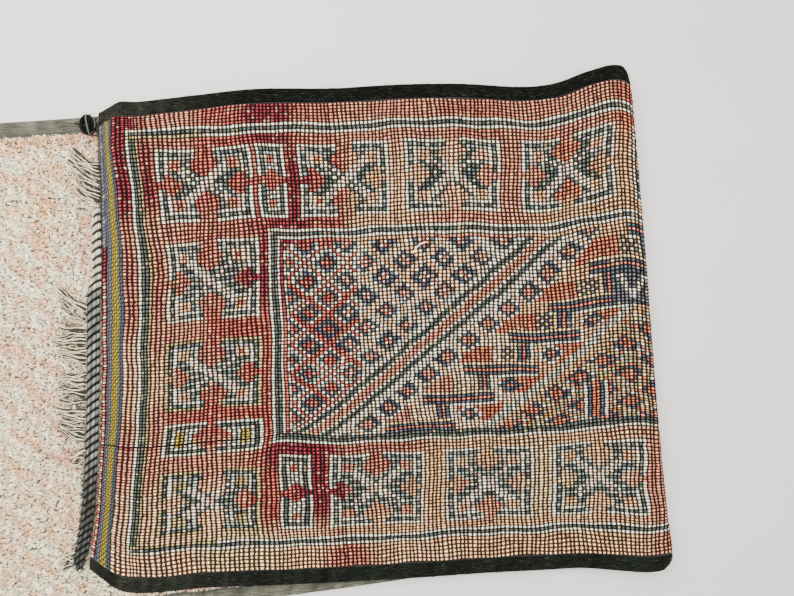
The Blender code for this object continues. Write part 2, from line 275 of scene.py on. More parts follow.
def smooth_step(t):
    """0 below 0, 1 above 1, and a soft step between."""
    t = np.clip(t, 0.0, 1.0)
    return t * t * (3 - 2 * t)


def across(edges, x, share):
    """Y at a share of the width between the near and the far edge."""
    near = read_table(edges, "x", "near", x)
    far = read_table(edges, "x", "far", x)
    return near + (far - near) * share


def fold_start(share):
    """X where the flap turns down into the bend."""
    return read_table(FOLD_LINE, "share", "x", share) - BEND_RADIUS


def flap_height(x, y, share):
    """Height of the flap's back."""
    from_fold = fold_start(share) - x
    height = FOLD_HEIGHT + (FLAP_HEIGHT - FOLD_HEIGHT) * smooth_step(from_fold / FLAP_SETTLE)
    for rise in RISES:
        distance = np.hypot(x - rise.x, y - rise.y) / rise.spread
        fade = smooth_step(from_fold / rise.spread)
        height = height + fade * rise.height * np.exp(-distance * distance)
    from_end = x - read_table(FLAP_END, "share", "x", share)
    droop = 1 - smooth_step(from_end / END_DROOP)
    return height + (FLAP_END_HEIGHT - height) * droop


def flap_surface(x, share):
    """Points on the flap's back, which go on round the bend past the fold, and the way out."""
    fold = fold_start(share)
    angle = np.clip(np.maximum(x - fold, 0.0) / BEND_RADIUS, 0.0, math.pi)
    flat_x = np.minimum(x, fold)
    px = flat_x + BEND_RADIUS * np.sin(angle)
    above = across(FLAP_EDGES, px, share)
    below = across(LOWER_EDGES, px, share)
    py = above + (below - above) * angle / math.pi
    pz = np.where(angle > 0, BEND_RADIUS * (1 + np.cos(angle)), flap_height(flat_x, py, share))
    out = np.stack([np.sin(angle), np.zeros_like(angle), np.cos(angle)], axis=-1)
    return np.stack([px, py, pz], axis=-1), out


def cloth_station(part, t, share):
    """Points of the back across the rug at one station, and the way from them to the pile."""
    fold = fold_start(share)
    if part == "lower":
        x = -HALF_LENGTH + (fold + HALF_LENGTH) * t
        y = across(LOWER_EDGES, x, share)
        up = np.stack([np.zeros_like(x), np.zeros_like(x), np.ones_like(x)], axis=-1)
        return np.stack([x, y, np.zeros_like(x)], axis=-1), up
    if part == "bend":
        x = fold + math.pi * BEND_RADIUS * (1 - t)
    else:
        x = fold + (read_table(FLAP_END, "share", "x", share) - fold) * t
    points, out = flap_surface(x, share)
    return points, -out


def station_list(lower_cells, bend_cells, flap_cells):
    """The stations along the folded cloth, from the lower layer's own end to the flap's end."""
    lower_length = HALF_LENGTH * 2 - BEND_RADIUS
    flap_length = HALF_LENGTH - BEND_RADIUS - FLAP_END[0].x
    ends = [0.0, FLATWEAVE_LENGTH, FLATWEAVE_LENGTH + PILE_RAMP / 2, FLATWEAVE_LENGTH + PILE_RAMP]
    first = ends[-1] / lower_length
    last = 1 - ends[-1] / flap_length
    places = [("lower", end / lower_length, end) for end in ends]
    for i in range(1, lower_cells):
        t = first + (1 - first) * i / lower_cells
        places.append(("lower", t, t * lower_length))
    places += [("bend", i / bend_cells, HALF_LENGTH) for i in range(bend_cells + 1)]
    for i in range(1, flap_cells):
        t = last * i / flap_cells
        places.append(("flap", t, (1 - t) * flap_length))
    places += [("flap", 1 - end / flap_length, end) for end in reversed(ends)]
    return places


def end_share_at(y):
    """The share of the width at which the flap's end passes Y."""
    shares = np.linspace(0, 1, 600)
    ends = read_table(FLAP_END, "share", "x", shares)
    return np.interp(y, across(FLAP_EDGES, ends, shares), shares)


def end_x_at(y):
    """X of the flap's end at Y."""
    return read_table(FLAP_END, "share", "x", end_share_at(y))


def grid_quads(rows, columns, closed=False):
    """Quads of a grid of points, rows by columns, closed round its columns if asked."""
    wide = columns if closed else columns - 1
    r, c = np.meshgrid(np.arange(rows - 1), np.arange(wide), indexing="ij")
    following = (c + 1) % columns
    low = r * columns
    high = low + columns
    return np.stack([low + c, low + following, high + following, high + c], axis=-1).reshape(-1, 4)


def rug_piece(name, points, quads, material, caps=()):
    """A piece of the rug, made of points, quads and end faces, that rides with it."""
    mesh = bpy.data.meshes.new(name)
    faces = [tuple(q) for q in np.asarray(quads).reshape(-1, 4).tolist()]
    faces += [tuple(cap) for cap in caps]
    mesh.from_pydata(np.asarray(points, dtype=float).reshape(-1, 3).tolist(), [], faces)
    mesh.polygons.foreach_set("use_smooth", [True] * len(mesh.polygons))
    mesh.materials.append(material)
    mesh.update()
    ob = bpy.data.objects.new(name, mesh)
    bpy.context.scene.collection.objects.link(ob)
    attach(ob, "root")
    return ob


def paint(ob, colours):
    """Gives each point of a piece its own colour."""
    layer = ob.data.color_attributes.new("wool", "FLOAT_COLOR", "POINT")
    full = np.ones((len(ob.data.vertices), 4))
    full[:, :3] = np.asarray(colours).reshape(-1, 3)
    layer.data.foreach_set("color", full.ravel())


# The chart of the knots

Square = namedtuple("Square", "first_row last_row first_knot last_knot outline eye")

SQUARES = [Square(*row) for row in (
    (10, 31, 12, 31, "cream", "salmon"), (33, 40, 12, 31, "cream", "rust"),
    (44, 65, 12, 31, "cream", "peach"), (70, 92, 12, 31, "cream", "peach"),
    (98, 120, 12, 31, "cream", "peach"), (125, 147, 12, 31, "cream", "peach"),
    (10, 31, 37, 58, "cream", "peach"), (10, 31, 65, 86, "gold", "peach"),
    (10, 31, 91, 101, "cream", "mustard"), (10, 31, 107, 127, "gold", "gold"),
    (36, 43, 104, 127, "cream", "rust"), (48, 70, 104, 127, "cream", "salmon"),
    (76, 96, 104, 127, "cream", "peach"), (101, 123, 104, 127, "cream", "tan"),
)]

# The ground's wool was dyed in small batches. For each wool, the row and the knot in the middle
# of each place where it lies
BATCHES = {
    "crimson": [(2, 6), (37, 4), (4, 22), (42, 22), (42, 34), (33, 45), (40, 102), (46, 114)],
    "salmon": [
        (14, 5), (58, 5), (72, 5), (102, 5), (114, 5), (95, 22), (8, 34), (84, 36), (12, 61),
        (3, 100), (20, 104), (59, 116), (86, 116), (128, 114), (132, 132),
    ],
    "red": [
        (24, 5), (14, 21), (26, 22), (37, 22), (50, 21), (49, 36), (26, 61), (33, 70), (20, 89),
        (33, 92), (33, 116),
    ],
    "rose": [(47, 5), (86, 4), (22, 34), (4, 50), (20, 48), (20, 75), (59, 103), (52, 137)],
    "rust": [(127, 8), (109, 22), (132, 22)],
    "tan": [
        (60, 21), (123, 22), (60, 36), (110, 36), (73, 114), (86, 102), (112, 102), (58, 130),
        (90, 135), (116, 135),
    ],
    "peach": [
        (68, 22), (81, 22), (3, 74), (3, 126), (20, 117), (112, 116), (10, 136), (40, 136),
        (66, 136),
    ],
    "beige": [(99, 114), (26, 136)],
}

# How a batch gives way to the next: a knot's step as a share of a row's, squared, the size of its
# even middle in squared rows, and how fast it falls off from there
KNOT_TO_ROW = 0.7
BATCH_MIDDLE = 4.0
BATCH_FALL = 3.0

# Half the width of the ground's wedges into a square, by their depth from its side or its end
WEDGE_FROM_SIDE = [1.5, 1.5, 2.1, 3.0, 3.4, 2.6, 1.6, 0.8]
WEDGE_FROM_END = [0.8, 1.1, 2.7, 3.1, 2.2, 0.9]

# A lattice of lozenges: the middle of one, the steps to the next, and half a lozenge in knots
Lattice = namedtuple("Lattice", "row knot row_step knot_step half")

FIELD_LATTICE = Lattice(44.2, 39.4, 4.8, 4.7, 4.8)
CORNER_LATTICE = Lattice(108.9, 81.8, 5.8, 4.8, 5.0)

# The chain of rosettes and the stepped border, in rows and knots
CHAIN_ROW = 57.6
CHAIN_STEP = 5.06
CHAIN_SUM = 151.4
STEP_ROWS = 10.1
STEP_KNOTS = 9.4
TREAD_ROW = 82
TREAD_KNOT = 75.6
TREAD_LENGTH = 18
RISER_OFFSET = 12.4
PENDANT_ROW = 92.5
PENDANT_KNOT = 82.9

# The field's first and last knot, and the row where its colours change
FIELD_FIRST = 39
FIELD_LAST = 97
CHANGE_ROW = 57

# The slanting bands of the field, each by the sum of row and knot where it ends
LATTICE_END = 135.5
STRIPE_END = 146.5
DOTS_END = 153
CHAIN_END = 155
STEPS_END = 182
PALE_LINE_END = 184.4
TAN_LINE_END = 186.2
STRIPE_LINES = [
    (136.5, "cream"), (138.6, "bottle"), (139.5, "cream"), (142.2, "salmon"), (143.2, "cream"),
    (145.4, "bottle"), (STRIPE_END, "cream"),
]

# The lines that cross one of the stepped border's bands, in order
BAND_LINES = ["beige", "navy", "rose", "navy", "cream"]

# Mends in red yarn: the row and the knot where each starts, and how many rows it crosses
Mend = namedtuple("Mend", "row knot rows")

MENDS = [Mend(0, 98, 3), Mend(7, 98, 1), Mend(20, 98, 2), Mend(78, 96, 1), Mend(97, 95, 1)]
SLIT_KNOT = 98
SLIT_LAST_ROW = 44

# How far a rosette's core, ring and rim reach from its middle, in knots
CORE_END = 1.9
RING_END = 3.3
RIM_END = 4.2


def half_width(table, depth):
    """Half the width of a wedge at a depth, or less than nothing past its point."""
    return table[int(depth)] if depth < len(table) else -9.0


def square_wool(row, knot, square):
    """The wool at a knot of one of the border's squares: an X with an eye at each end, and a
    wedge of the ground at each side."""
    rows = square.last_row - square.first_row
    knots = square.last_knot - square.first_knot
    u = row - square.first_row
    v = knot - square.first_knot
    if rows < 12:
        return narrow_square_wool(v, u, knots, rows, square)
    if knots < 12:
        return narrow_square_wool(u, v, rows, knots, square)
    from_end = min(u, rows - u)
    from_side = min(v, knots - v)
    off_middle_row = abs(u - rows / 2)
    off_middle_knot = abs(v - knots / 2)
    over = max(
        half_width(WEDGE_FROM_SIDE, from_side) - off_middle_row,
        half_width(WEDGE_FROM_END, from_end) - off_middle_knot,
    )
    near, far = min(from_end, from_side), max(from_end, from_side)
    if over >= 0:
        return "ground"
    if near == 0:
        return square.outline
    if near == 1:
        return "bottle" if (u + v) % 3 else "grey_green"
    if near == 2 and far <= 7:
        return "cream" if from_end == 2 or v % 2 else "grey_green"
    if near >= 3 and far <= 5:
        return "ground" if from_end == from_side == 4 else square.eye
    off_diagonal = abs(off_middle_row * knots / rows - off_middle_knot)
    if off_diagonal < 0.65:
        return "shell" if u % 3 else "cream"
    if off_diagonal < 1.8 and (u + v) % 2:
        return "cream"
    if -1.1 < over and off_diagonal > 2.6 and (u + v) % 2:
        return "grey_green"
    paler = 2 if square.first_knot > 31 else 5
    return "grey_green" if (row * 2 + knot) % paler == 0 else "bottle"


def narrow_square_wool(along, over, long_side, short_side, square):
    """The wool at a knot of a half square: an eye near each end and the ground between them."""
    from_end = min(along, long_side - along)
    from_side = min(over, short_side - over)
    off_middle = abs(along - long_side / 2)
    if from_side <= 1 and off_middle < 1.2 or from_side > 1 and off_middle < 0.9 + from_side * 0.7:
        return "ground"
    if from_side == 0 or from_end == 0:
        return square.outline
    if from_side == 1 or from_end == 1:
        return "bottle"
    if 3 <= from_end <= 4 and from_side >= 3:
        return square.eye
    return "cream" if (along + over) % 2 else "grey_green"


def off_lozenge(row, knot, lattice):
    """How far a knot lies from the middle of its lozenge, in knots."""
    m = (row - lattice.row) / lattice.row_step
    n = (knot - lattice.knot) / lattice.knot_step
    u = (m + n) / 2
    v = (m - n) / 2
    return 2 * max(abs(u - round(u)), abs(v - round(v))) * lattice.half


def lattice_wool(row, knot):
    """The wool in the lattice of lozenges, each with a rosette of dark dots round a cross."""
    distance = off_lozenge(row, knot, FIELD_LATTICE)
    if distance < 1.8:
        if row < CHANGE_ROW - 4:
            return "red"
        return "shell" if (row + knot) % 2 else "rose"
    if distance < RING_END:
        return "navy" if distance < 2.7 or (row + knot) % 2 else "grey_green"
    if distance < RIM_END and (row + knot) % 2:
        return "cream"
    if row < CHANGE_ROW:
        return "red" if distance > 3.9 else "cream"
    return "peach" if (row + 2 * knot) % 3 else "cream"


def stripe_wool(total):
    """The wool in the slanting stripe between the lattice and the chain of rosettes."""
    return next(wool for end, wool in STRIPE_LINES if total < end)


def rosette(distance, core, ring):
    """The wool at a distance, in knots along the grid, from the middle of a larger rosette."""
    if distance < CORE_END:
        return core
    if distance < RING_END:
        return ring
    return "cream" if distance < RIM_END else None


def chain_wool(row, knot):
    """The wool along the chain of rosettes beside the slanting stripe."""
    k = round((row - CHAIN_ROW + CHAIN_SUM - CHAIN_ROW - knot) / 2 / CHAIN_STEP)
    centre = CHAIN_ROW + k * CHAIN_STEP
    distance = abs(row - centre) + abs(knot - (CHAIN_SUM - centre))
    return rosette(distance, "salmon", "navy" if row > CHANGE_ROW else "bottle")


def meander_wool(row, knot):
    """The wool in the stepped band: level treads joined by risers, each with five lines."""
    for k in range(-3, 6):
        first = TREAD_ROW + STEP_ROWS * k
        top = TREAD_KNOT - STEP_KNOTS * k
        over = knot - top
        along = row - first
        if 0 <= along < TREAD_LENGTH and -0.5 <= over < 4.5:
            return "cream" if along > TREAD_LENGTH - 1 else BAND_LINES[int(over + 0.5)]
        past = along - RISER_OFFSET
        if -0.5 <= past < 4.5 and -STEP_KNOTS + 3.5 < over < 0:
            return BAND_LINES[int(past + 0.5)]
    return None


def pendant_wool(row, knot):
    """The small rosettes that hang under the stepped band."""
    for k in range(-2, 4):
        off_row = row - PENDANT_ROW - STEP_ROWS * k
        off_knot = knot - PENDANT_KNOT + STEP_KNOTS * k
        distance = abs(off_row) + abs(off_knot)
        if distance < 1.2:
            return "rose"
        if distance < 2.6:
            return "navy"
        if distance < 3.4:
            return "cream"
    return None


def step_ground_wool(row, knot):
    """The ground round the stepped band, with orange red above and below each tread."""
    for k in range(-3, 6):
        along = row - TREAD_ROW - STEP_ROWS * k
        over = knot - TREAD_KNOT + STEP_KNOTS * k
        if -3 < along < 7 and -5.5 < over < 0 or 8 < along < 19 and 4 < over < 10:
            return "rust" if row > 78 else "salmon"
        if 7 <= along < 13 and -5.5 < over < 0:
            return ("navy" if row > 90 else "cream") if (row + knot) % 2 else "tan"
    if row < 95 and (row + knot) % 2 == 0:
        return "cream"
    return "tan" if row > 95 else "peach"


def corner_field_wool(row, knot):
    """The wool in the corner past the stepped band, where pale lines make lozenges."""
    distance = off_lozenge(row, knot, CORNER_LATTICE)
    if distance < 3.2:
        return rosette(distance, "rust", "navy")
    if distance > 4.3:
        return "gold" if (row + knot) % 3 else "grey_green"
    return ["cream", "rust", "tan", "rust", "tan"][(2 * row + knot) % 5]


def box_wool(row, knot):
    """The wool of the small box in the field's far corner, and of the bars in the near one."""
    if 118 <= row <= 127 and 51 <= knot <= 60:
        middle = abs(row - 122.5) + 0.5 * (knot - 51)
        if row in (118, 127) or knot in (51, 60):
            return "navy"
        return "cream" if 2.5 < middle < 4.2 else "slate"
    if 110 <= row <= 115 and 84 <= knot <= 96:
        return ["cream", "navy", "rust", "rust", "navy", "cream"][row - 110]
    return None


def field_wool(row, knot):
    """The wool at a knot of the field, whose bands all slant the same way."""
    total = row + knot
    if total < LATTICE_END:
        return lattice_wool(row, knot)
    if total < STRIPE_END:
        return stripe_wool(total)
    found = (box_wool(row, knot) or meander_wool(row, knot) or chain_wool(row, knot)
             or pendant_wool(row, knot))
    if found:
        return found
    if total < CHAIN_END:
        return "cream" if total % 2 and total < DOTS_END else "peach"
    if total < STEPS_END:
        return step_ground_wool(row, knot)
    if total < PALE_LINE_END:
        return "cream" if row % 2 else "grey_green"
    if total < TAN_LINE_END:
        return "tan"
    return corner_field_wool(row, knot)


def frame_wool(row, knot):
    """The wool in the guard frame and the inner frame, or None off them."""
    side = min(knot, KNOTS_ACROSS - 1 - knot)
    if side in (6, 8) and row >= 3 or row == 3 and side >= 6:
        return "gold" if side == 8 and row < 22 else "cream"
    if side == 7 and row >= 4 or row in (4, 5) and side >= 7:
        return "bottle"
    if row == 6 and side >= 8:
        return "gold"
    inside = 34 <= row and 35 <= knot <= 100
    if not inside:
        return None
    if row == 34 or knot in (35, 100):
        return "cream"
    if row in (35, 36) or knot in (36, 98, 99):
        return "bottle"
    if row == 37 or knot == 37:
        return "cream"
    if row == 38 or knot == 38:
        return "ground"
    if row == 39:
        return "cream" if knot % 4 else "bottle"
    return None


def chart(row, knot):
    """The wool of one knot, by its row from the flap's end and its place from the far edge."""
    for square in SQUARES:
        if (square.first_row <= row <= square.last_row
                and square.first_knot <= knot <= square.last_knot):
            return square_wool(row, knot, square)
    found = frame_wool(row, knot)
    if found:
        return found
    if row >= 39 and FIELD_FIRST <= knot <= FIELD_LAST:
        return field_wool(row, knot)
    return "ground"


def wool_colours(colours):
    """The rug's wools by name, as arrays."""
    return {name: np.array(getattr(colours, name)) for name in RugColours.__annotations__}


def ground_colours(wools):
    """The ground's colour at each knot, blended a little between the batches of dye."""
    row, knot = np.meshgrid(
        np.arange(LAST_ROW - FIRST_ROW) + FIRST_ROW, np.arange(KNOTS_ACROSS), indexing="ij",
    )
    total = np.zeros((*row.shape, 3))
    weights = np.zeros(row.shape)
    for wool, places in BATCHES.items():
        for middle_row, middle_knot in places:
            away = (row - middle_row) ** 2 + KNOT_TO_ROW * (knot - middle_knot) ** 2
            weight = (away + BATCH_MIDDLE) ** -BATCH_FALL
            total += weight[..., None] * wools[wool]
            weights += weight
    return total / weights[..., None]


def end_bead_wool(knot):
    """The wool of the last row's beads, beside the braid."""
    if knot < END_BEADS_FROM:
        return "slate"
    if knot < END_BEADS_FROM + CRIMSON_BEADS:
        return "crimson"
    return ["rose", "shell", "red"][knot % 3]


# How uneven the wool is from knot to knot and from row to row, how its warmth varies, and how
# many knots have faded
UNEVEN_KNOTS = 0.20
UNEVEN_ROWS = 0.05
UNEVEN_WARMTH = 0.05
FADED_SHARE = 0.12


def knot_colours(wools):
    """Each knot's colour, rows by knots, with the unevenness of hand-spun and hand-dyed wool."""
    rng = np.random.default_rng(7)
    result = ground_colours(wools)
    for row in range(FIRST_ROW, LAST_ROW):
        for knot in range(KNOTS_ACROSS):
            wool = "ground" if row < 0 else chart(row, knot)
            if row < FIRST_ROW + END_BEAD_ROWS:
                wool = end_bead_wool(knot)
            if wool != "ground":
                result[row - FIRST_ROW, knot] = wools[wool]
    shape = (*result.shape[:2], 1)
    uneven = rng.normal(1.0, UNEVEN_KNOTS, shape)
    streak = rng.normal(1.0, UNEVEN_ROWS, (shape[0], 1, 1))
    warmth = rng.normal(0.0, UNEVEN_WARMTH, shape) * np.array([1.0, 0.1, -1.0])
    faded = np.where(rng.uniform(0, 1, shape) < FADED_SHARE, rng.uniform(0.1, 0.45, shape), 0.0)
    result = result + (wools["beige"] - result) * faded
    return np.clip(result * uneven * streak * (1 + warmth), 0.002, 0.92)


def weave_end_bands(cells, wools, rng):
    """Weaves the flat bands between the end row and the first knots, thread by thread: slate,
    yellow and indigo, all in one twill."""
    first = END_BEAD_ROWS * 3
    last = -FIRST_ROW * 3
    thread, place = np.meshgrid(np.arange(first, last), np.arange(cells.shape[1]), indexing="ij")
    twill = (thread + place) % 5 < 2
    slate_end = first + 7
    mustard_end = last - 5
    for low, high, wool, gap_shade in (
        (first, slate_end, "slate", 0.45), (slate_end, mustard_end, "mustard", 0.30),
        (mustard_end, last, "navy", 0.5),
    ):
        here = (thread >= low) & (thread < high)
        # The twill's under threads are painted darker, as painted shade along its diagonal ribs
        shade = np.where(twill, gap_shade, 1.0) * rng.normal(1.0, 0.14, thread.shape)
        band = cells[first:last]
        band[here] = (wools[wool] * shade[..., None])[here]


def row_x(row, share):
    """X, along the back, of a line between two rows of knots."""
    last = ROW_LINES[-1]
    x = read_straight(ROW_LINES, "row", "x", row) + np.maximum(row - last.row, 0) * BEND_ROW_PITCH
    y = across(FLAP_EDGES, x, share)
    fade = np.clip((BOW_END_X - x) / (BOW_END_X - ROW_LINES[0].x), 0, 1)
    x = x + read_straight(ROW_BOW, "y", "shift", y) * fade
    end = read_table(FLAP_END, "share", "x", share)
    return np.where(row < 0, end + (x - end) * (row - FIRST_ROW) / -FIRST_ROW, x)


def knot_share(knot):
    """The share of the width, from the near edge, of a line between two knots."""
    y = read_straight(KNOT_LINES, "knot", "y", knot)
    near = across(FLAP_EDGES, MEASURED_X, 0.0)
    far = across(FLAP_EDGES, MEASURED_X, 1.0)
    return (y - near) / (far - near)


def pulled(row, knot):
    """How far the weaving is pulled askew at each place, along and across the rug."""
    along, over = np.zeros(row.shape), np.zeros(row.shape)
    for pull in PULLS:
        away = ((row - pull.row) / pull.rows) ** 2 + ((knot - pull.knot) / pull.knots) ** 2
        along += pull.along * np.exp(-away)
        over += pull.over * np.exp(-away)
    from_end = np.clip((row - FIRST_ROW) / -FIRST_ROW, 0, 1)
    from_side = np.clip(np.minimum(knot, KNOTS_ACROSS - knot) / 6, 0, 1)
    return along * from_end, over * from_side


# A cell's rough size, for the sway of the rows; how far rows and knots sway and stray, as a share
# of a pitch; and how deep a valley and how even the beads are, as a share of a bead's height
CELL_SIZE = (0.0036, 0.0028)
SWAY = 0.6
STRAY = 0.05
ROW_STRAY = 0.06
VALLEY = 0.3
BEAD_UNEVEN = 0.25
FLAT_WOVEN_SHARE = 0.15


def bead_grid(sizes):
    """Points over all the knots, three cells to a knot each way. A knot's back stands up as a
    bead between the sunk wefts and warps; the end bands are flat but for their first row."""
    rng = np.random.default_rng(11)
    rows = LAST_ROW - FIRST_ROW
    a, b = np.meshgrid(
        np.arange(rows * 3 + 1), np.arange(KNOTS_ACROSS * 3 + 1), indexing="ij",
    )
    end_beads = a <= END_BEAD_ROWS * 3
    flat_woven = (a < -FIRST_ROW * 3) & ~end_beads
    # Rows and knots wander a little, and no two gaps between beads are alike
    place = (a * CELL_SIZE[0], b * CELL_SIZE[1])
    sway = [soft_noise(*place, size, rng) - 0.5 for size in (0.16, 0.11)]
    nudge = rng.normal(0, STRAY, (2, rows + 1, KNOTS_ACROSS + 1))[:, (a + 1) // 3, (b + 1) // 3]
    widths = rng.normal(0, ROW_STRAY, rows + 1)[(a + 1) // 3]
    row = FIRST_ROW + a / 3 + sway[0] * SWAY + nudge[0] + widths
    knot = b / 3 + sway[1] * SWAY + nudge[1]
    row = np.clip(row, FIRST_ROW, LAST_ROW)
    knot = np.clip(knot, 0, KNOTS_ACROSS)
    along, over = pulled(row, knot)
    share = knot_share(knot) + over / WOVEN_WIDTH
    points, out = flap_surface(row_x(row, share) + along, share)
    weft_line = np.where(end_beads, a % (END_BEAD_ROWS * 3) == 0, a % 3 == 0)
    valley = np.where(weft_line, 1.0, np.where(b % 3 == 0, 0.7, 0.0))
    knot_lift = rng.normal(1.0, BEAD_UNEVEN, (rows + 1, KNOTS_ACROSS + 1))[a // 3, b // 3]
    lift = np.where(valley > 0, -VALLEY * valley, knot_lift)
    lift = lift * np.where(flat_woven, FLAT_WOVEN_SHARE, 1.0)
    slit = (np.abs(b - SLIT_KNOT * 3) < 1) & (a < (SLIT_LAST_ROW - FIRST_ROW) * 3)
    lift = np.where(slit, -1.0, lift)
    points = points + out * (lift * sizes.bead_height)[..., None]
    points[..., 2] = np.maximum(points[..., 2], KNOT_LOWEST)
    counted = np.where(end_beads, a / (END_BEAD_ROWS * 3), a / 3)
    return points, np.stack([counted, b / 3, np.zeros(a.shape)], axis=-1)


def linked(tree, socket, value):
    """Sets a socket to a value, or links another socket to it."""
    if isinstance(value, bpy.types.NodeSocket):
        tree.links.new(value, socket)
    else:
        socket.default_value = value


def add(tree, kind, settings=None, inputs=None):
    """Adds a node with its settings, and sets or links its inputs."""
    node = tree.nodes.new("ShaderNode" + kind)
    for name, value in (settings or {}).items():
        setattr(node, name, value)
    for name, value in (inputs or {}).items():
        linked(tree, node.inputs[name], value)
    return node


# Wool and hair scatter light, so that they have hardly any gloss
MATT_SPECULAR = 0.06
SHEEN_ROUGHNESS = 0.6


def new_finish(name, roughness, sheen=0.0):
    """A material with its shader, ready for its nodes."""
    material = bpy.data.materials.new(name)
    material.use_nodes = True
    shader = material.node_tree.nodes["Principled BSDF"]
    shader.inputs["Roughness"].default_value = roughness
    shader.inputs["Specular IOR Level"].default_value = MATT_SPECULAR
    shader.inputs["Sheen Weight"].default_value = sheen
    shader.inputs["Sheen Roughness"].default_value = SHEEN_ROUGHNESS
    return material, material.node_tree, shader


def millimetres(tree, size, stretch=(1, 1, 1)):
    """Object coordinates scaled so that one unit is a size in millimetres, longer where the
    stretch is over 1."""
    place = add(tree, "TexCoord")
    scale = tuple(1000.0 / size / s for s in stretch)
    return add(tree, "Mapping", inputs={
        "Vector": place.outputs["Object"], "Scale": scale,
    }).outputs["Vector"]


# A bead's crown reaches this far from its middle, as a share of a row's pitch and of a knot's.
# Counted in that reach, its rim darkens between two distances, both a little ragged with fibres
BEAD_REACH = (0.30, 0.35, 1.0)
RAGGED = 0.9
RIM_DARKENS = 1.12
RIM_DARK = 1.50

# How bright the wool is painted: a painted highlight on the crown, and painted shade at its foot
PAINTED_CROWN_HIGHLIGHT = 3.1
PAINTED_FOOT_SHADE = 0.62


def knotted_wool(name, colours):
    """Hand-spun wool, knotted and beaten down. Each knot's back is a matt, rounded bead, painted
    lighter on its crown as a painted highlight and darker at its foot as painted shade; between the
    beads it goes over to the dark wefts' colour with painted shade, so the eye sees dots."""
    material, tree, shader = new_finish(name, 0.92)
    wool = add(tree, "Attribute", {"attribute_name": "wool"})
    place = add(tree, "Attribute", {"attribute_name": "place"})
    # The yarn's fibres are far finer; clumps of them 1.6 mm wide are what shows
    fibres = add(tree, "TexNoise", inputs={
        "Vector": millimetres(tree, 1.6), "Scale": 1.0, "Detail": 3.0, "Roughness": 0.6,
    })
    cell = add(tree, "VectorMath", {"operation": "FRACTION"}, {"Vector": place.outputs["Vector"]})
    off_middle = add(tree, "VectorMath", {"operation": "SUBTRACT"}, {
        0: cell.outputs["Vector"], 1: (0.5, 0.5, 0.0),
    })
    reach = add(tree, "VectorMath", {"operation": "DIVIDE"}, {
        0: off_middle.outputs["Vector"], 1: BEAD_REACH,
    })
    squared = add(tree, "VectorMath", {"operation": "MULTIPLY"}, {
        0: reach.outputs["Vector"], 1: reach.outputs["Vector"],
    })
    rim = add(tree, "VectorMath", {"operation": "LENGTH"}, {0: squared.outputs["Vector"]})
    ragged = add(tree, "Math", {"operation": "MULTIPLY_ADD"}, {
        0: fibres.outputs["Fac"], 1: RAGGED, 2: rim.outputs["Value"],
    })
    depth = add(tree, "MapRange", {"interpolation_type": "SMOOTHSTEP"}, {
        "Value": ragged.outputs["Value"], "From Min": RIM_DARKENS, "From Max": RIM_DARK,
        "To Min": 0.0, "To Max": 0.99,
    })
    knotted = add(tree, "Math", {"operation": "MULTIPLY"}, {
        0: depth.outputs["Result"], 1: wool.outputs["Alpha"],
    })
    off_crown = add(tree, "VectorMath", {"operation": "LENGTH"}, {0: reach.outputs["Vector"]})
    # Painted highlight and shade: the wool's colour is scaled up on the crown and down at the foot
    crown = add(tree, "MapRange", inputs={
        "Value": off_crown.outputs["Value"], "From Min": 0.0, "From Max": 1.15,
        "To Min": PAINTED_CROWN_HIGHLIGHT, "To Max": PAINTED_FOOT_SHADE,
    })
    shade = add(tree, "MapRange", inputs={
        "Value": fibres.outputs["Fac"], "From Min": 0.3, "From Max": 0.7,
        "To Min": 0.80, "To Max": 1.15,
    })
    light = add(tree, "Math", {"operation": "MULTIPLY"}, {
        0: crown.outputs["Result"], 1: shade.outputs["Result"],
    })
    spun = add(tree, "VectorMath", {"operation": "SCALE"}, {
        "Vector": wool.outputs["Color"], "Scale": light.outputs["Value"],
    })
    whitest = add(tree, "VectorMath", {"operation": "MINIMUM"}, {
        0: spun.outputs["Vector"], 1: (0.92, 0.90, 0.84),
    })
    # Between the beads: the dark weft's own colour with a trace of the wool, as painted shade in
    # the gaps
    gap_shade = add(tree, "VectorMath", {"operation": "MULTIPLY_ADD"}, {
        0: wool.outputs["Color"], 1: (0.03, 0.03, 0.03), 2: tuple(colours.weft),
    })
    colour = add(tree, "Mix", {"data_type": "RGBA"}, {
        "Factor": knotted.outputs["Value"], "A": whitest.outputs["Vector"],
        "B": gap_shade.outputs["Vector"],
    })
    bump = add(tree, "Bump", inputs={
        "Height": fibres.outputs["Fac"], "Strength": 0.5, "Distance": 0.0006,
    })
    linked(tree, shader.inputs["Base Color"], colour.outputs["Result"])
    linked(tree, shader.inputs["Normal"], bump.outputs["Normal"])
    return material


def painted_wool(name, roughness, fibre_mm, contrast, sheen=0.1, stretch=(1, 1, 1)):
    """Wool or hair yarn whose colour lies in the piece, with lighter and darker fibres in it."""
    material, tree, shader = new_finish(name, roughness, sheen)
    wool = add(tree, "Attribute", {"attribute_name": "wool"})
    fibres = add(tree, "TexNoise", inputs={
        "Vector": millimetres(tree, fibre_mm, stretch), "Scale": 1.0, "Detail": 4.0,
        "Roughness": 0.65,
    })
    shade = add(tree, "MapRange", inputs={
        "Value": fibres.outputs["Fac"], "From Min": 0.3, "From Max": 0.7,
        "To Min": 1 - contrast, "To Max": 1 + contrast,
    })
    spun = add(tree, "VectorMath", {"operation": "SCALE"}, {
        "Vector": wool.outputs["Color"], "Scale": shade.outputs["Result"],
    })
    bump = add(tree, "Bump", inputs={
        "Height": fibres.outputs["Fac"], "Strength": 0.6, "Distance": fibre_mm / 2000,
    })
    linked(tree, shader.inputs["Base Color"], spun.outputs["Vector"])
    linked(tree, shader.inputs["Normal"], bump.outputs["Normal"])
    return material


def pile_ramp(from_end):
    """0 in the flat-woven end, 1 in the knotted cloth, and a soft ramp between."""
    return smooth_step((from_end - FLATWEAVE_LENGTH) / PILE_RAMP)


def end_caps(count, rings):
    """The two end faces of a closed tube of rings, each of so many points."""
    last = (rings - 1) * count
    return [tuple(reversed(range(count))), tuple(range(last, last + count))]


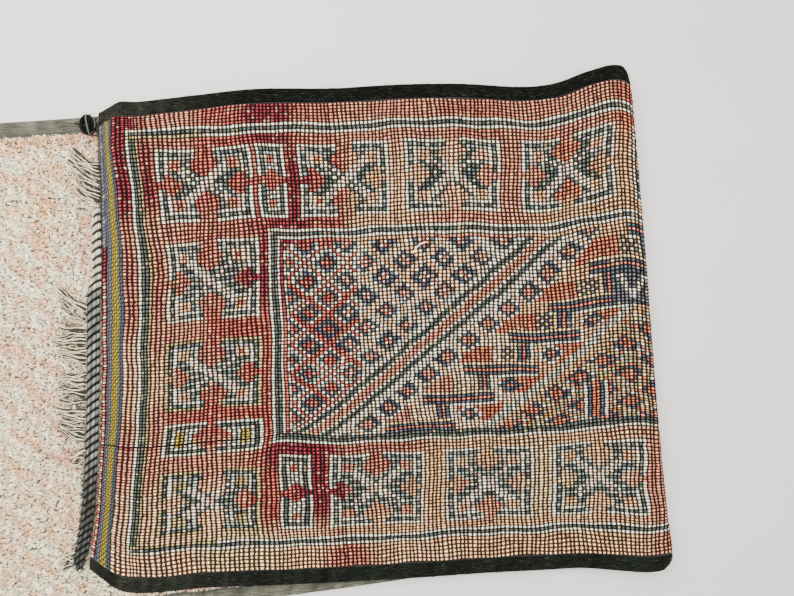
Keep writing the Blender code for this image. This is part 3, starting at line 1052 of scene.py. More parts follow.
def folded_piece(name, back, pile, tones, material):
    """A piece that follows the folded cloth, by its points on the back and on the pile's side."""
    ring = np.concatenate([np.array(back), np.array(pile)[:, ::-1]], axis=1)
    ring[..., 2] = np.maximum(ring[..., 2], CLOTH_LOWEST)
    rings, count = ring.shape[:2]
    quads = grid_quads(rings, count, closed=True)
    ob = rug_piece(name, ring, quads, material, end_caps(count, rings))
    paint(ob, np.array(tones))
    return ob


# The foundation's cells along the lower layer, the bend and the flap, and its points across
FOUNDATION_CELLS = (60, 14, 60)
FOUNDATION_POINTS = 49


def build_foundation(settings):
    """The cloth itself, a little under the knots: its foundation of warps and dark wefts."""
    colours, sizes = settings.colours, settings.sizes
    places = station_list(*FOUNDATION_CELLS)
    inset = SELVEDGE_SHARE * 1.01
    share = np.linspace(inset, 1 - inset, FOUNDATION_POINTS)
    dark = np.array(colours.weft) * 1.6
    # The pile's side, seen between the tufts, is painted a dark grey as painted shade deep in the
    # pile
    shaded_pile_root = np.array(colours.braid_grey) * 0.4
    back, pile, tones = [], [], []
    for part, t, from_end in places:
        points, inward = cloth_station(part, t, share)
        ramp = pile_ramp(from_end)
        thick = CLOTH_THICKNESS * (CLOTH_END_SHARE + (1 - CLOTH_END_SHARE) * ramp)
        pile_depth = thick - sizes.pile_height * ramp * 0.75
        sunk = sizes.body_depth if part != "lower" else sizes.body_depth * 0.3
        back.append(points + inward * sunk)
        pile.append(points + inward * pile_depth)
        above = np.array(colours.slate) if from_end < PILE_START else shaded_pile_root
        tones.append([dark] * len(share) + [above] * len(share))
    material = painted_wool("wool_foundation", 0.95, 2.0, 0.3)
    ob = folded_piece("rug_foundation", back, pile, tones, material)
    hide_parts("rug_cloth")


def build_knots(settings):
    """The back of the knots, row by row, from the braid to the floor under the bend."""
    colours, sizes = settings.colours, settings.sizes
    wools = wool_colours(colours)
    points, places = bead_grid(sizes)
    cells = np.repeat(np.repeat(knot_colours(wools), 3, axis=0), 3, axis=1)
    weave_end_bands(cells, wools, np.random.default_rng(13))
    cells[:(SLIT_LAST_ROW - FIRST_ROW) * 3, SLIT_KNOT * 3 - 1:SLIT_KNOT * 3 + 1] = wools["weft"]
    for mend in MENDS:
        first = (mend.row - FIRST_ROW) * 3
        cells[first:first + mend.rows * 3, mend.knot * 3 - 1:mend.knot * 3 + 2] = wools["crimson"]
    raised = np.ones(cells.shape[:2])
    raised[END_BEAD_ROWS * 3:-FIRST_ROW * 3] = 0.0
    raised[:END_BEAD_ROWS * 3, :END_BEADS_FROM * 3] = 0.0
    material = knotted_wool("hand_knotted_wool", colours)
    for name, first, last in (
        ("knots_flap", FIRST_ROW, SPLIT_ROW), ("knots_fold", SPLIT_ROW, LAST_ROW),
    ):
        low = (first - FIRST_ROW) * 3
        high = (last - FIRST_ROW) * 3
        part = points[low:high + 1]
        corners = grid_quads(*part.shape[:2])[:, ::-1]
        ob = rug_piece(name, part, corners, material)
        place = ob.data.attributes.new("place", "FLOAT_VECTOR", "POINT")
        place.data.foreach_set("vector", places[low:high + 1].ravel())
        full = np.concatenate([cells, raised[..., None]], axis=-1)[low:high].reshape(-1, 4)
        layer = ob.data.color_attributes.new("wool", "FLOAT_COLOR", "CORNER")
        layer.data.foreach_set("color", np.repeat(full, 4, axis=0).ravel())
        a, b = np.meshgrid(
            np.linspace(0, 1, part.shape[0]), np.linspace(0, 1, part.shape[1]), indexing="ij",
        )
        flat = np.stack([a, b], axis=-1).reshape(-1, 2)
        bake_map = ob.data.uv_layers.new(name="OFBake")
        bake_map.data.foreach_set("uv", flat[corners.ravel()].ravel())


def yarn_piece(name, paths, radii, tones, sides, material):
    """Many yarns in one piece, each a closed tube along its own path of points."""
    rng = np.random.default_rng(23)
    paths = np.asarray(paths)
    count, steps = paths.shape[:2]
    ahead = np.gradient(paths, axis=1)
    ahead /= np.linalg.norm(ahead, axis=2, keepdims=True) + 1e-9
    side = np.cross(ahead, (0, 0, 1.0))
    side /= np.linalg.norm(side, axis=2, keepdims=True) + 1e-9
    up = np.cross(side, ahead)
    angle = rng.uniform(0, 6.3, (count, 1)) + 2 * math.pi * np.arange(sides) / sides
    angle = angle[:, None, :, None]
    ring = np.cos(angle) * side[:, :, None] + np.sin(angle) * up[:, :, None]
    points = paths[:, :, None] + ring * np.asarray(radii)[..., None, None]
    points[..., 2] = np.maximum(points[..., 2], YARN_LOWEST)
    starts = np.arange(count) * steps * sides
    one = grid_quads(steps, sides, closed=True)
    quads = (one[None] + starts[:, None, None]).reshape(-1, 4)
    caps = []
    for start in starts.tolist():
        caps += [tuple(start + i for i in cap) for cap in end_caps(sides, steps)]
    ob = rug_piece(name, points, quads, material, caps)
    paint(ob, np.repeat(np.asarray(tones), steps * sides, axis=0))
    return ob


# The selvedges' cells along the lower layer, the bend and the flap; their cords, and the cells
# across each cord
SELVEDGE_CELLS = (120, 16, 120)
CORDS = 5
CELLS_PER_CORD = 5
RIB_HEIGHT = 0.0017

# Towards the flap's end the hair is matted and greyer
MATTED_LENGTH = 0.45
MATTED_SHARE = 0.14


def build_selvedges(settings):
    """The dark edges: goat hair wrapped over five cords, with a rib for each cord."""
    colours = settings.colours
    rng = np.random.default_rng(5)
    # Hair lies along the cords, so that the finish is drawn out into streaks
    material = painted_wool("wrapped_goat_hair", 0.95, 1.1, 0.6, 0.02, (5, 1, 1))
    places = station_list(*SELVEDGE_CELLS)
    hair, felt = np.array(colours.goat_hair), np.array(colours.felt)
    for name, node, start, end, worn in (
        ("selvedge_cords_far", "selvedge_far", 1 - SELVEDGE_SHARE, 1.0, 1.0),
        ("selvedge_cords_near", "selvedge_near", 0.0, SELVEDGE_SHARE, 2.2),
    ):
        u = np.linspace(0, 1, CORDS * CELLS_PER_CORD + 1)
        share = start + (end - start) * u
        # The dip between two cords, and how far the outer cords are rounded off
        dip = RIB_HEIGHT - RIB_HEIGHT * np.sqrt(np.abs(np.sin(np.pi * CORDS * u)))
        round_off = 0.4 * (1 - smooth_step(np.minimum(u, 1 - u) * CORDS))
        back, pile, tones = [], [], []
        for part, t, from_end in places:
            points, inward = cloth_station(part, t, share)
            ramp = pile_ramp(from_end)
            thick = SELVEDGE_THICKNESS * (SELVEDGE_END_SHARE + (1 - SELVEDGE_END_SHARE) * ramp)
            knobs = rng.normal(0, 0.00035, u.shape)
            outer = dip + round_off * thick * 0.5 + knobs
            outer = np.maximum(outer, CLOTH_LOWEST) if part == "lower" else outer - 0.0008
            inner = thick - dip * 0.7 - round_off * thick * 0.5 + knobs
            back.append(points + inward * outer[:, None])
            pile.append(points + inward * inner[:, None])
            matted = 0
            if part == "flap":
                matted = MATTED_SHARE * smooth_step(1 - from_end / MATTED_LENGTH)
            tone = felt if part == "lower" else hair * worn + (felt - hair) * matted
            shade = rng.normal(1.0, 0.25) * rng.normal(1.0, 0.25, 2 * len(u))
            tones.append(tone * np.clip(shade, 0.3, 2.0)[:, None])
        ob = folded_piece(name, back, pile, tones, material)
        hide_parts(node)
    build_fuzz(colours, rng)


FUZZ_HAIRS = 3000


def build_fuzz(colours, rng):
    """Loose hairs that stand out of the two selvedges of the flap."""
    far = rng.uniform(0, 1, FUZZ_HAIRS) < 0.5
    first = FLAP_END[0].x + 0.012 + rng.uniform(0, 1, FUZZ_HAIRS) * (HALF_LENGTH - FLAP_END[0].x)
    inset = rng.uniform(0.04, 0.96, FUZZ_HAIRS) * SELVEDGE_SHARE
    reach = rng.uniform(0.006, 0.016, FUZZ_HAIRS)
    t = np.linspace(0, 1, 4)
    x = first[:, None] + reach[:, None] * t
    drift = rng.normal(0, 0.0035, FUZZ_HAIRS)[:, None] * t
    share = np.where(far, 1 - inset, inset)[:, None] + drift
    points, out = flap_surface(x, np.clip(share, 0.0, 1.0))
    arch = 0.0009 + rng.uniform(0.0004, 0.0016, FUZZ_HAIRS)[:, None] * np.sin(math.pi * t)
    paths = points + out * arch[..., None]
    radii = rng.uniform(0.00022, 0.0004, FUZZ_HAIRS)[:, None] * np.array([1.0, 1.0, 0.8, 0.4])
    grey = rng.uniform(0, 1, FUZZ_HAIRS)[:, None] ** 3
    hair, felt = np.array(colours.goat_hair), np.array(colours.felt)
    tones = (hair + (felt - hair) * grey * 0.6) * rng.uniform(0.6, 2.2, (FUZZ_HAIRS, 1))
    material = painted_wool("loose_goat_hair", 0.95, 2.0, 0.2, 0.0)
    yarn_piece("selvedge_fuzz", paths, radii, tones, 3, material)


# The braid: its size, its place along the flap's end, and where it grows slim
BRAID_WIDTH = 0.038
BRAID_THICKNESS = 0.0140
BRAID_BASE = 0.0165
BRAID_FIRST_SHARE = 0.004
BRAID_LAST_SHARE = 0.795
BRAID_TURNS = 44
BRAID_SLANT = 0.014
BRAID_SLIM_SHARE = 0.62
BRAID_SLIM_FROM = 0.13
BRAID_SLIM_OVER = 0.06
BRAID_GAP = 0.0016
STEPS_PER_TURN = 8
BRAID_SIDES = 48
BRAID_WAIST = 0.66
BRAID_SWELL = 0.32
YARN_PROUD = 0.02


def build_braid(settings):
    """The braid along the flap's end: thick turns of plied warp ends, each a fan of fine yarns
    that rises towards the cloth."""
    colours = settings.colours
    rng = np.random.default_rng(3)
    steps = BRAID_TURNS * STEPS_PER_TURN
    k, s = np.meshgrid(np.arange(steps + 1), np.arange(BRAID_SIDES), indexing="ij")
    along = k / steps
    angle = 2 * math.pi * s / BRAID_SIDES
    share = BRAID_FIRST_SHARE + (BRAID_LAST_SHARE - BRAID_FIRST_SHARE) * along
    end_x = read_table(FLAP_END, "share", "x", share)
    y = across(FLAP_EDGES, end_x, share)
    slim = 1 - (1 - BRAID_SLIM_SHARE) * smooth_step((y - BRAID_SLIM_FROM) / BRAID_SLIM_OVER)
    turn = np.abs(np.sin(math.pi * BRAID_TURNS * along)) ** 0.6
    # A turn swells from a waist to its full width, and every other yarn stands a little proud
    yarn = s // 2 % 2
    size = BRAID_WAIST + BRAID_SWELL * turn + YARN_PROUD * yarn
    taper = np.minimum(1.0, 0.45 + 0.55 * np.minimum(along, 1 - along) * BRAID_TURNS / 2)
    half = BRAID_WIDTH / 2 * slim
    place = size * np.sign(np.cos(angle)) * np.abs(np.cos(angle)) ** 0.8
    x = half * taper * place
    z = size * taper * BRAID_THICKNESS / 2 * np.sin(angle) * 1.06
    y = y + (BRAID_SLANT * place - 0.003 * place * place) * taper * slim
    beside = end_x_at(y) - BRAID_GAP - half
    points = np.stack([beside + x, y, BRAID_BASE + BRAID_THICKNESS / 2 + z], axis=-1)
    # Plied wool, dulled by handling: the yarns' crowns are painted pale, a painted highlight, and
    # the gaps painted almost black, painted shade
    material = painted_wool("plied_warp_wool", 0.9, 0.9, 0.30, 0.05)
    quads = grid_quads(steps + 1, BRAID_SIDES, closed=True)[:, ::-1]
    caps = end_caps(BRAID_SIDES, steps + 1)
    ob = rug_piece("braid_of_warps", points, quads, material, caps)
    pale = smooth_step((y - 0.12) / 0.05)[..., None]
    dull = smooth_step((-0.20 - y) / 0.20)[..., None]
    grey, cream = np.array(colours.braid_grey), np.array(colours.braid_cream)
    tone = (grey + (cream - grey) * pale) * (1 - 0.70 * dull)
    # Painted shade, almost black, between two turns, and a painted highlight towards each crown
    turn_shade_and_highlight = np.where(turn < 0.70, 0.03, 1.15 * turn ** 2)
    which = np.minimum((along * BRAID_TURNS).astype(int), BRAID_TURNS - 1)
    yarns = rng.normal(1.0, 0.25, (BRAID_TURNS, BRAID_SIDES))[which, s // 2]
    # Every other yarn is painted lighter and the ones between darker, as painted highlight and
    # shade
    yarns = yarns * np.where(yarn, 1.25, 0.45)
    paint(ob, np.clip(tone * (turn_shade_and_highlight * yarns)[..., None], 0.003, 0.9))
    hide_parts("end_braid")


# A tuft of the fringe: where it starts and ends across the rug, how long its strands are, how
# far they lean towards the far edge at their tips, and how much the tuft spreads there
Tuft = namedtuple("Tuft", "first last length lean spread")

FAR_TUFTS = [
    Tuft(0.350, 0.395, 0.066, 0.032, 0.85),
    Tuft(0.400, 0.455, 0.088, 0.050, 0.85),
]

NEAR_TUFTS = [Tuft(*row) for row in (
    (-0.530, -0.495, 0.044, -0.026, 0.85), (-0.370, -0.295, 0.018, -0.004, 1.00),
    (-0.285, -0.252, 0.046, -0.014, 0.85), (-0.240, -0.158, 0.090, 0.020, 0.72),
    (-0.145, -0.065, 0.084, 0.004, 0.85), (-0.055, 0.045, 0.092, 0.010, 0.80),
    (0.058, 0.098, 0.090, 0.050, 0.90),
)]

# The cream strands of a clump, the near-black ones painted as the shade between them, and the
# steps along each
CREAM_STRANDS = 2
SHADE_STRANDS = 4
STRAND_STEPS = 10


def warp_paths(tufts, setback, base, sizes, rng):
    """Paths of loose warp yarns that fall from the flap's end on to the pile. They hang
    together in wavy clumps, with a few strands across them."""
    paths, radii, tones = [], [], []
    t = np.linspace(0, 1, STRAND_STEPS)
    for tuft in tufts:
        clumps = max(2, round((tuft.last - tuft.first) / sizes.clump_pitch))
        middle = (tuft.first + tuft.last) / 2
        for clump in range(clumps):
            root = tuft.first + (tuft.last - tuft.first) * (clump + 0.5) / clumps
            clump_reach = rng.uniform(0.85, 1.0)
            clump_drift = rng.normal(0, 0.004)
            bend = rng.uniform(0.002, 0.006) * np.sin(t * rng.uniform(3, 8) + rng.uniform(0, 6))
            for strand in range(CREAM_STRANDS + SHADE_STRANDS):
                # The near-black strands lie lowest: painted shade between the cream strands
                soil_and_shade = strand >= CREAM_STRANDS
                stray = rng.uniform(0, 1) < 0.15
                y0 = root + rng.uniform(-0.5, 0.5) * sizes.clump_pitch * (1.1 if soil_and_shade else 0.5)
                x0 = float(end_x_at(y0)) - setback - rng.uniform(0.0, 0.005)
                reach = tuft.length * clump_reach * rng.uniform(0.75, 1.06) * (0.9 if soil_and_shade else 1)
                gather = (root - y0) * (0.1 if soil_and_shade else 0.6) * t
                drift = clump_drift + rng.normal(0, 0.012 if stray else 0.002)
                own = rng.uniform(0, 0.0022) * np.sin(t * rng.uniform(8, 16) + rng.uniform(0, 6))
                y = y0 + gather + (middle - root) * (1 - tuft.spread) * t + tuft.lean * t ** 1.4
                y = y + (bend + own) * np.minimum(1, t * 2) + drift * t
                shade = 0.03 if soil_and_shade else rng.uniform(0.85, 1.15)
                z_rest = CLOTH_THICKNESS + rng.uniform(0.0030, 0.0050 if stray else 0.0042)
                z_rest -= 0.0014 if soil_and_shade else 0.0
                z_start = base + rng.uniform(0.0, 0.004)
                z = z_start + (z_rest - z_start) * smooth_step(t * 2.2)
                paths.append(np.stack([x0 - reach * t, y, z], axis=-1))
                thick = rng.uniform(1.2, 1.7) if soil_and_shade else rng.uniform(0.65, 1.15)
                radii.append(sizes.strand_radius * thick * (1 - 0.5 * t))
                tones.append(shade)
    return paths, radii, np.array(tones)


def build_fringe(settings):
    """Loose warp ends at the flap's end, and one stray end that lies on the knots."""
    colours, sizes = settings.colours, settings.sizes
    rng = np.random.default_rng(17)
    # Undyed wool with its grease in: creamy, with a little shine along the ply
    material = painted_wool("undyed_warp_yarn", 0.8, 1.0, 0.22)
    for name, node, tufts, setback, base in (
        ("warp_ends_far", "fringe_far", FAR_TUFTS, 0.002, 0.0170),
        ("warp_ends_near", "fringe_near", NEAR_TUFTS, BRAID_WIDTH * 0.80, 0.0165),
    ):
        paths, radii, shades = warp_paths(tufts, setback, base, sizes, rng)
        tones = shades[:, None] * np.array(colours.warp) * np.array([1.0, 0.98, 0.95])
        ob = yarn_piece(name, paths, radii, tones, 3, material)
        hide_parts(node)
    t = np.linspace(0, 1, 9)
    row = 71 + 3.4 * t
    knot = 43.2 - 3.4 * t - 0.6 * np.sin(t * 4)
    points, out = flap_surface(row_x(row, knot_share(knot)), knot_share(knot))
    path = points + out * (0.0022 + 0.0012 * np.sin(math.pi * t))[:, None]
    radii = np.full((1, 9), sizes.strand_radius * 1.2)
    yarn_piece("stray_warp_end", [path], radii, [colours.warp], 6, material)


KNOT_CENTRE = (-0.4610, 0.5500, 0.0240)
KNOT_RADII = (0.0215, 0.0280, 0.0105)
KNOT_LOOPS = 20
KNOT_TAILS = 12
KNOT_STEPS = 22


def build_corner_knot(settings):
    """The knot of dark yarn at the far corner: loops wound over each other, with short tails."""
    colours = settings.colours
    rng = np.random.default_rng(29)
    hair, grey = np.array(colours.goat_hair), np.array(colours.braid_grey)
    paths, radii, tones = [], [], []
    centre = np.array(KNOT_CENTRE)
    for loop in range(KNOT_LOOPS):
        tilt = rng.uniform(0, math.pi)
        lean = rng.uniform(-0.6, 0.6)
        t = np.linspace(0, 2 * math.pi, KNOT_STEPS)
        flat_y = np.sin(t) * math.cos(lean)
        flat_z = np.sin(t) * math.sin(lean)
        turned = np.stack([
            np.cos(t) * math.cos(tilt) - flat_z * math.sin(tilt), flat_y,
            np.cos(t) * math.sin(tilt) + flat_z * math.cos(tilt),
        ], axis=-1)
        paths.append(centre + turned * np.array(KNOT_RADII) * rng.uniform(0.70, 0.93))
        radii.append(np.full(KNOT_STEPS, rng.uniform(0.0012, 0.0021)))
        greyer = loop % 5 == 0
        tones.append(grey * rng.uniform(0.5, 0.9) if greyer else hair * rng.uniform(0.6, 2.0))
    for tail in range(KNOT_TAILS):
        angle = math.pi * 0.9 + rng.uniform(-1.5, 1.1)
        t = np.linspace(0.3, 1, KNOT_STEPS)
        reach = rng.uniform(0.026, 0.044)
        x = centre[0] + math.cos(angle) * reach * t
        y = centre[1] + math.sin(angle) * reach * t + 0.003 * np.sin(t * 6 + tail)
        z = centre[2] + (0.0150 - centre[2]) * t
        paths.append(np.stack([x, y, z], axis=-1))
        radii.append(np.linspace(0.0013, 0.0005, KNOT_STEPS))
        tones.append(grey * 0.8 if tail % 4 == 0 else hair * rng.uniform(0.8, 2.0))
    material = painted_wool("knotted_goat_hair", 0.95, 0.9, 0.5, 0.02)
    ob = yarn_piece(
        "corner_knot_yarns", paths, radii, tones, 6, material,
    )
    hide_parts("corner_knot")


NOISE_WAVES = 7


def soft_noise(x, y, size, rng):
    """Smooth noise from 0 to 1 at places in metres, with blots of about one size."""
    total = np.zeros_like(x)
    for _ in range(NOISE_WAVES):
        angle = rng.uniform(0, 2 * math.pi)
        turn = 2 * math.pi / size * rng.uniform(0.6, 1.5)
        total += np.sin((x * math.cos(angle) + y * math.sin(angle)) * turn + rng.uniform(0, 6.3))
    return np.clip(0.5 + total / NOISE_WAVES, 0, 1)


# Where the pile's pattern shows through: a soft patch, its half length and half width, the
# wool, and how much of it there is in the middle. Those of the wefts' colour are shade under the
# fringe
Blush = namedtuple("Blush", "x y length width wool share")

BLUSHES = [Blush(*row) for row in (
    (-0.75, 0.525, 0.60, 0.030, "pile_peach", 1.50),
    (-0.62, 0.41, 0.30, 0.030, "pile_peach", 0.30),
    (-0.583, 0.32, 0.024, 0.110, "pile_peach", 1.40),
    (-0.480, 0.27, 0.022, 0.080, "pile_rose", 0.60),
    (-0.66, -0.02, 0.060, 0.070, "pile_rose", 0.40),
    (-0.60, -0.16, 0.040, 0.080, "pile_rose", 0.45),
    (-0.53, -0.27, 0.045, 0.030, "pile_rose", 0.70),
    (-0.64, -0.33, 0.050, 0.030, "pile_rose", 0.35),
    (-0.56, -0.42, 0.080, 0.050, "pile_peach", 0.60),
    (-0.66, -0.52, 0.030, 0.080, "pile_peach", 0.60),
    (-0.83, 0.00, 0.080, 0.250, "pile_rose", 0.35),
    (-0.20, -0.63, 0.110, 0.030, "pile_rose", 0.45), (-0.475, 0.41, 0.030, 0.055, "weft", 0.85),
    (-0.515, 0.02, 0.032, 0.070, "weft", 0.90), (-0.515, -0.16, 0.032, 0.090, "weft", 0.90),
)]


def pile_tones(x, y, colours, rng):
    """The pile's colour at many places: pale wool, with the worn pattern in soft blots."""
    cream, peach, rose = (
        np.array(c) for c in (colours.pile_cream, colours.pile_peach, colours.pile_rose)
    )
    blot = np.clip(soft_noise(x, y, 0.05, rng) * 1.8 - 0.55, 0, 1)[:, None]
    tone = cream + (peach - cream) * blot * 0.75
    speck = rng.uniform(0, 1, len(x))
    for blush in BLUSHES:
        away = ((x - blush.x) / blush.length) ** 2 + ((y - blush.y) / blush.width) ** 2
        amount = np.minimum(blush.share * np.exp(-away), 1) * np.clip(speck * 2.2 - 0.3, 0, 1)
        wool = np.array(getattr(colours, blush.wool))
        tone = tone + (wool - tone) * amount[:, None]
    red = (soft_noise(x + 3, y, 0.03, rng) > 0.66) & (rng.uniform(0, 1, len(x)) < 0.30)
    tone = tone + (rose - tone) * (red * 0.5)[:, None]
    hue = rng.normal(0, 0.035, (len(x), 1)) * np.array([0.6, 0.1, -1.0])
    return np.clip(tone * (1 + hue) * rng.normal(1.0, 0.12, (len(x), 1)), 0.01, 0.92)


# The pile's width between the selvedges
PILE_WIDTH = 1.165


def pile_places(sizes):
    """Where the lower layer's tufts stand: left of the flap, and along the strip that shows
    past the flap's near edge."""
    rng = np.random.default_rng(41)
    x, y = [], []
    for first, last, low, high in (
        (-HALF_LENGTH + PILE_START, FLAP_END[0].x + 0.045, 0.0, 1.0),
        (FLAP_END[0].x + 0.046, 0.40, 0.0, 0.035),
    ):
        along = int((last - first) / sizes.pile_pitch_along)
        wide = int(PILE_WIDTH * (high - low) / sizes.pile_pitch_across)
        i, j = np.meshgrid(np.arange(along), np.arange(wide), indexing="ij")
        t = low + (high - low) * (j + 0.5 + rng.normal(0, 0.25, i.shape)) / wide
        share = SELVEDGE_SHARE * 1.15 + (1 - SELVEDGE_SHARE * 2.3) * np.clip(t, 0.002, 0.998)
        here = first + (i + 0.5 + rng.normal(0, 0.25, i.shape)) * sizes.pile_pitch_along
        x.append(here.ravel())
        y.append(across(LOWER_EDGES, here, share).ravel())
    return np.concatenate(x), np.concatenate(y), rng


# The flap's end and its fringe press the pile down along this line
PRESSED_X = -0.50
PRESSED_REACH = 0.05

# A tuft's three levels, from its root to its tip: how high, how wide, and how far it leans there
TUFT_LEVELS = [(0.0, 0.95, 0.0), (0.62, 1.10, 0.4), (1.0, 0.55, 1.0)]
# How bright each level is painted, from root to tip: painted shade deep in the pile
TUFT_SHADES = [0.22, 0.78, 1.0]
TUFT_REACH = 0.78
PILE_HAIRS = 9000


def build_pile(settings):
    """The cut pile of the lower layer: leaning tufts of wool, with loose hairs over them."""
    colours, sizes = settings.colours, settings.sizes
    x, y, rng = pile_places(sizes)
    count = len(x)
    clump = soft_noise(x, y, 0.022, rng)
    tall = sizes.pile_height * (0.70 + 0.55 * clump) * rng.uniform(0.9, 1.12, count)
    tall = tall * (1 - 0.45 * np.exp(-((x - PRESSED_X) / PRESSED_REACH) ** 2))
    base = CLOTH_THICKNESS - sizes.pile_height * 0.95
    heading = math.pi + 1.1 * (soft_noise(x, y, 0.07, rng) * 2 - 1) + rng.normal(0, 0.5, count)
    lean = rng.uniform(0.0015, 0.0048, count)
    turn = rng.uniform(0, 6.3, count)
    rings = []
    for up, wide, leaning in TUFT_LEVELS:
        corners = []
        for corner in range(3):
            angle = turn + corner * math.pi * 2 / 3
            rough = rng.uniform(0.8, 1.2, count) * wide
            cx = x + np.cos(angle) * sizes.pile_pitch_along * TUFT_REACH * rough
            cy = y + np.sin(angle) * sizes.pile_pitch_across * TUFT_REACH * rough
            corners.append(np.stack([
                cx + np.cos(heading) * lean * leaning, cy + np.sin(heading) * lean * leaning,
                base + tall * up,
            ], axis=-1))
        rings.append(np.stack(corners, axis=1))
    points = np.stack(rings, axis=1)
    one = grid_quads(3, 3, closed=True)
    quads = (one[None] + (np.arange(count) * 9)[:, None, None]).reshape(-1, 4)
    tips = [(k * 9 + 6, k * 9 + 7, k * 9 + 8) for k in range(count)]
    # Soft cut wool: each tuft is painted darker at its root than at its tip, as painted shade deep
    # in the pile
    material = painted_wool("cut_wool_pile", 0.95, 1.1, 0.22, 0.25)
    ob = rug_piece("cut_pile", points, quads, material, tips)
    # Taller clumps are painted lighter and lower ones darker, as painted light and shade on the
    # pile
    tone = pile_tones(x, y, colours, rng) * (0.68 + 0.62 * clump)[:, None]
    # The edge along the far selvedge is flattened and soiled, most of all at its roots
    soil_and_shade = 0.25 * smooth_step((y - 0.48) / 0.03)[:, None] * np.array([1.0, 0.8, 0.3])
    shade = np.array(TUFT_SHADES) * (1 - soil_and_shade)
    paint(ob, tone[:, None, None, :] * shade[:, :, None, None] * np.ones((1, 1, 3, 1)))
    build_pile_hairs(settings, x, y, heading, material, rng)


def build_pile_hairs(settings, x, y, heading, material, rng):
    """Loose hairs that lie over the tufts."""
    colours, sizes = settings.colours, settings.sizes
    chosen = rng.permutation(len(x))[:PILE_HAIRS]
    hx, hy = x[chosen], y[chosen]
    way = heading[chosen] + rng.normal(0, 0.7, len(chosen))
    reach = sizes.pile_hair * rng.uniform(0.6, 1.25, len(chosen))
    t = np.linspace(0, 1, 4)
    curl = rng.normal(0, 0.0016, len(chosen))[:, None] * np.sin(math.pi * t)
    px = hx[:, None] + (np.cos(way) * reach)[:, None] * t - np.sin(way)[:, None] * curl
    py = hy[:, None] + (np.sin(way) * reach)[:, None] * t + np.cos(way)[:, None] * curl
    top = CLOTH_THICKNESS + rng.uniform(-0.0006, 0.0012, len(chosen))[:, None]
    pz = top + 0.0010 * np.sin(math.pi * t)
    py = np.clip(py, across(LOWER_EDGES, px, SELVEDGE_SHARE), across(LOWER_EDGES, px, 0.97))
    radii = rng.uniform(0.00035, 0.0006, len(chosen))[:, None] * np.array([0.8, 1.0, 0.8, 0.4])
    # Some loose hairs are painted near black, most of them near the fringe: painted shade for the
    # dark gaps in the pile there
    dark = rng.uniform(0, 1, len(chosen)) < 0.03 + 0.14 * np.exp(-((hx - PRESSED_X) / 0.07) ** 2)
    shade = np.where(dark, 0.06, 1.1)[:, None]
    yarn_piece(
        "pile_hairs", np.stack([px, py, pz], axis=-1), radii,
        np.clip(pile_tones(hx, hy, colours, rng) * shade, 0, 0.92), 3, material,
    )


# The floor, the light all round, and the softboxes, which face the middle of the rug
FLOOR_HALF = 6.0
WORLD_COLOUR = (1.0, 0.99, 0.97, 1)
WORLD_STRENGTH = 1.15
Softbox = namedtuple("Softbox", "name place size power")

SOFTBOXES = [
    Softbox("window_side_softbox", (-1.3, 1.5, 2.2), 2.0, 110),
    Softbox("overhead_softbox", (0.5, 0.2, 2.9), 2.4, 107),
]
LIGHT_AIM = (0.1, 0, 0)


def build_stage():
    """The pale floor, the soft studio lights and the camera at the photograph's angle."""
    mesh = bpy.data.meshes.new("studio_floor")
    corners = [(FLOOR_HALF * x, FLOOR_HALF * y, 0) for x, y in ((-1, -1), (1, -1), (1, 1), (-1, 1))]
    mesh.from_pydata(corners, [], [(0, 1, 2, 3)])
    floor = bpy.data.objects.new("studio_floor", mesh)
    bpy.context.scene.collection.objects.link(floor)
    # Matt painted board: a faint unevenness keeps it from looking like paper
    material, tree, shader = new_finish("matt_painted_board", 0.7)
    grain = add(tree, "TexNoise", inputs={
        "Vector": millimetres(tree, 300), "Scale": 1.0, "Detail": 3.0,
    })
    tone = add(tree, "Mix", {"data_type": "RGBA"}, {
        "Factor": grain.outputs["Fac"], "A": (*linear("D9D6D0"), 1), "B": (*linear("E2DFDA"), 1),
    })
    linked(tree, shader.inputs["Base Color"], tone.outputs["Result"])
    mesh.materials.append(material)
    for softbox in SOFTBOXES:
        add_light(softbox)
    world = bpy.context.scene.world or bpy.data.worlds.new("studio")
    bpy.context.scene.world = world
    world.use_nodes = True
    background = world.node_tree.nodes["Background"]
    background.inputs["Color"].default_value = WORLD_COLOUR
    background.inputs["Strength"].default_value = WORLD_STRENGTH
    camera_data = bpy.data.cameras.new("camera")
    camera_data.lens = CAMERA_LENS_MM
    camera = bpy.data.objects.new("camera", camera_data)
    bpy.context.scene.collection.objects.link(camera)
    back = -Vector(CAMERA_FORWARD).normalized()
    right = Vector(CAMERA_RIGHT).normalized()
    up = back.cross(right)
    turn = Matrix((right, up, back)).transposed().to_4x4()
    camera.matrix_world = Matrix.Translation(CAMERA_PLACE) @ turn
    bpy.context.scene.camera = camera


def add_light(softbox):
    """A square softbox that faces the rug."""
    light = bpy.data.lights.new(softbox.name, "AREA")
    light.size = softbox.size
    light.energy = softbox.power
    ob = bpy.data.objects.new(softbox.name, light)
    ob.location = softbox.place
    way = Vector(LIGHT_AIM) - Vector(softbox.place)
    ob.rotation_euler = way.to_track_quat("-Z", "Y").to_euler()
    bpy.context.scene.collection.objects.link(ob)


class RUG_OT_stage(bpy.types.Operator):
    """Add the floor, the lights and the camera"""

    bl_idname = "rug.stage"
    bl_label = "Stage"

    def execute(self, context):
        build_stage()
        return {"FINISHED"}


class RUG_OT_foundation(bpy.types.Operator):
    """Weave the folded cloth that carries the knots and the pile"""

    bl_idname = "rug.foundation"
    bl_label = "Foundation"

    def execute(self, context):
        build_foundation(context.scene.folded_rug)
        return {"FINISHED"}


class RUG_OT_knots(bpy.types.Operator):
    """Tie the knots whose backs show on the flap, by the chart"""

    bl_idname = "rug.knots"
    bl_label = "Knots"

    def execute(self, context):
        build_knots(context.scene.folded_rug)
        return {"FINISHED"}


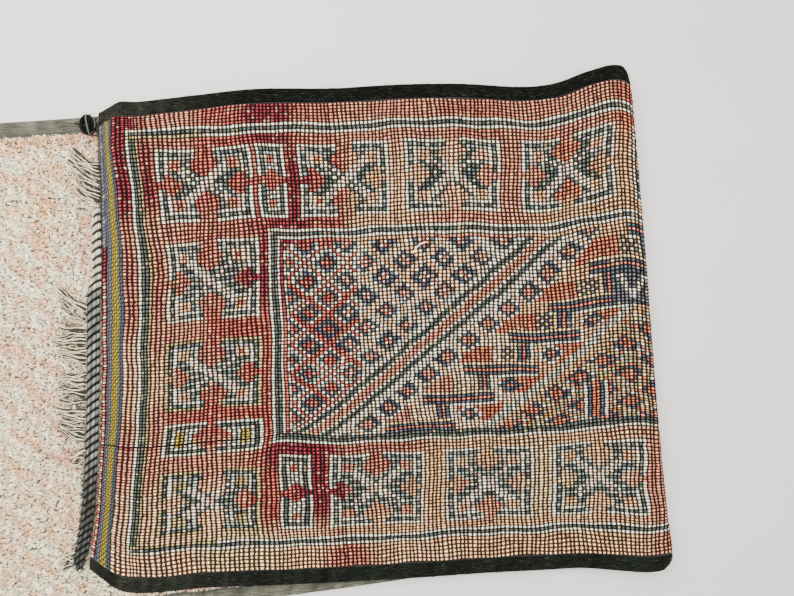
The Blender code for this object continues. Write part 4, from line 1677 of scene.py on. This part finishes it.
class RUG_OT_pile(bpy.types.Operator):
    """Tie and cut the pile of the lower layer"""

    bl_idname = "rug.pile"
    bl_label = "Cut pile"

    def execute(self, context):
        build_pile(context.scene.folded_rug)
        return {"FINISHED"}


class RUG_OT_selvedges(bpy.types.Operator):
    """Wrap the two selvedges in goat hair"""

    bl_idname = "rug.selvedges"
    bl_label = "Selvedges"

    def execute(self, context):
        build_selvedges(context.scene.folded_rug)
        return {"FINISHED"}


class RUG_OT_braid(bpy.types.Operator):
    """Braid the warp ends along the flap's end"""

    bl_idname = "rug.braid"
    bl_label = "Braid"

    def execute(self, context):
        build_braid(context.scene.folded_rug)
        return {"FINISHED"}


class RUG_OT_fringe(bpy.types.Operator):
    """Pull out the loose warp ends"""

    bl_idname = "rug.fringe"
    bl_label = "Fringe"

    def execute(self, context):
        build_fringe(context.scene.folded_rug)
        return {"FINISHED"}


class RUG_OT_corner_knot(bpy.types.Operator):
    """Tie the knot of yarn at the far corner"""

    bl_idname = "rug.corner_knot"
    bl_label = "Corner knot"

    def execute(self, context):
        build_corner_knot(context.scene.folded_rug)
        return {"FINISHED"}


class RUG_OT_fold(bpy.types.Operator):
    """Does nothing more: the other steps already build the cloth folded once, with the pieces on it
    """

    bl_idname = "rug.fold"
    bl_label = "Fold"

    def execute(self, context):
        return {"FINISHED"}


OPERATORS = (
    RUG_OT_stage, RUG_OT_foundation, RUG_OT_knots, RUG_OT_pile, RUG_OT_selvedges,
    RUG_OT_braid, RUG_OT_fringe, RUG_OT_corner_knot, RUG_OT_fold,
)


class RUG_PT_panel(bpy.types.Panel):
    """Lists the rug's pieces"""

    bl_idname = "RUG_PT_panel"
    bl_label = "Folded wool rug"
    bl_space_type = "VIEW_3D"
    bl_region_type = "UI"
    bl_category = "Rug"

    def draw(self, context):
        column = self.layout.column(align=True)
        for operator in OPERATORS:
            column.operator(operator.bl_idname)
        settings = context.scene.folded_rug
        for group in (settings.sizes, settings.colours):
            box = self.layout.box()
            for name in type(group).__annotations__:
                box.prop(group, name)


CLASSES = (RugColours, RugSizes, RugSettings, *OPERATORS, RUG_PT_panel)


def register():
    for cls in CLASSES:
        bpy.utils.register_class(cls)
    bpy.types.Scene.folded_rug = bpy.props.PointerProperty(type=RugSettings)


def unregister():
    del bpy.types.Scene.folded_rug
    for cls in reversed(CLASSES):
        bpy.utils.unregister_class(cls)


def main():
    register()
    bpy.ops.rug.stage()
    bpy.ops.rug.foundation()
    bpy.ops.rug.knots()
    bpy.ops.rug.pile()
    bpy.ops.rug.selvedges()
    bpy.ops.rug.braid()
    bpy.ops.rug.fringe()
    bpy.ops.rug.corner_knot()
    bpy.ops.rug.fold()


if __name__ == "__main__":
    main()
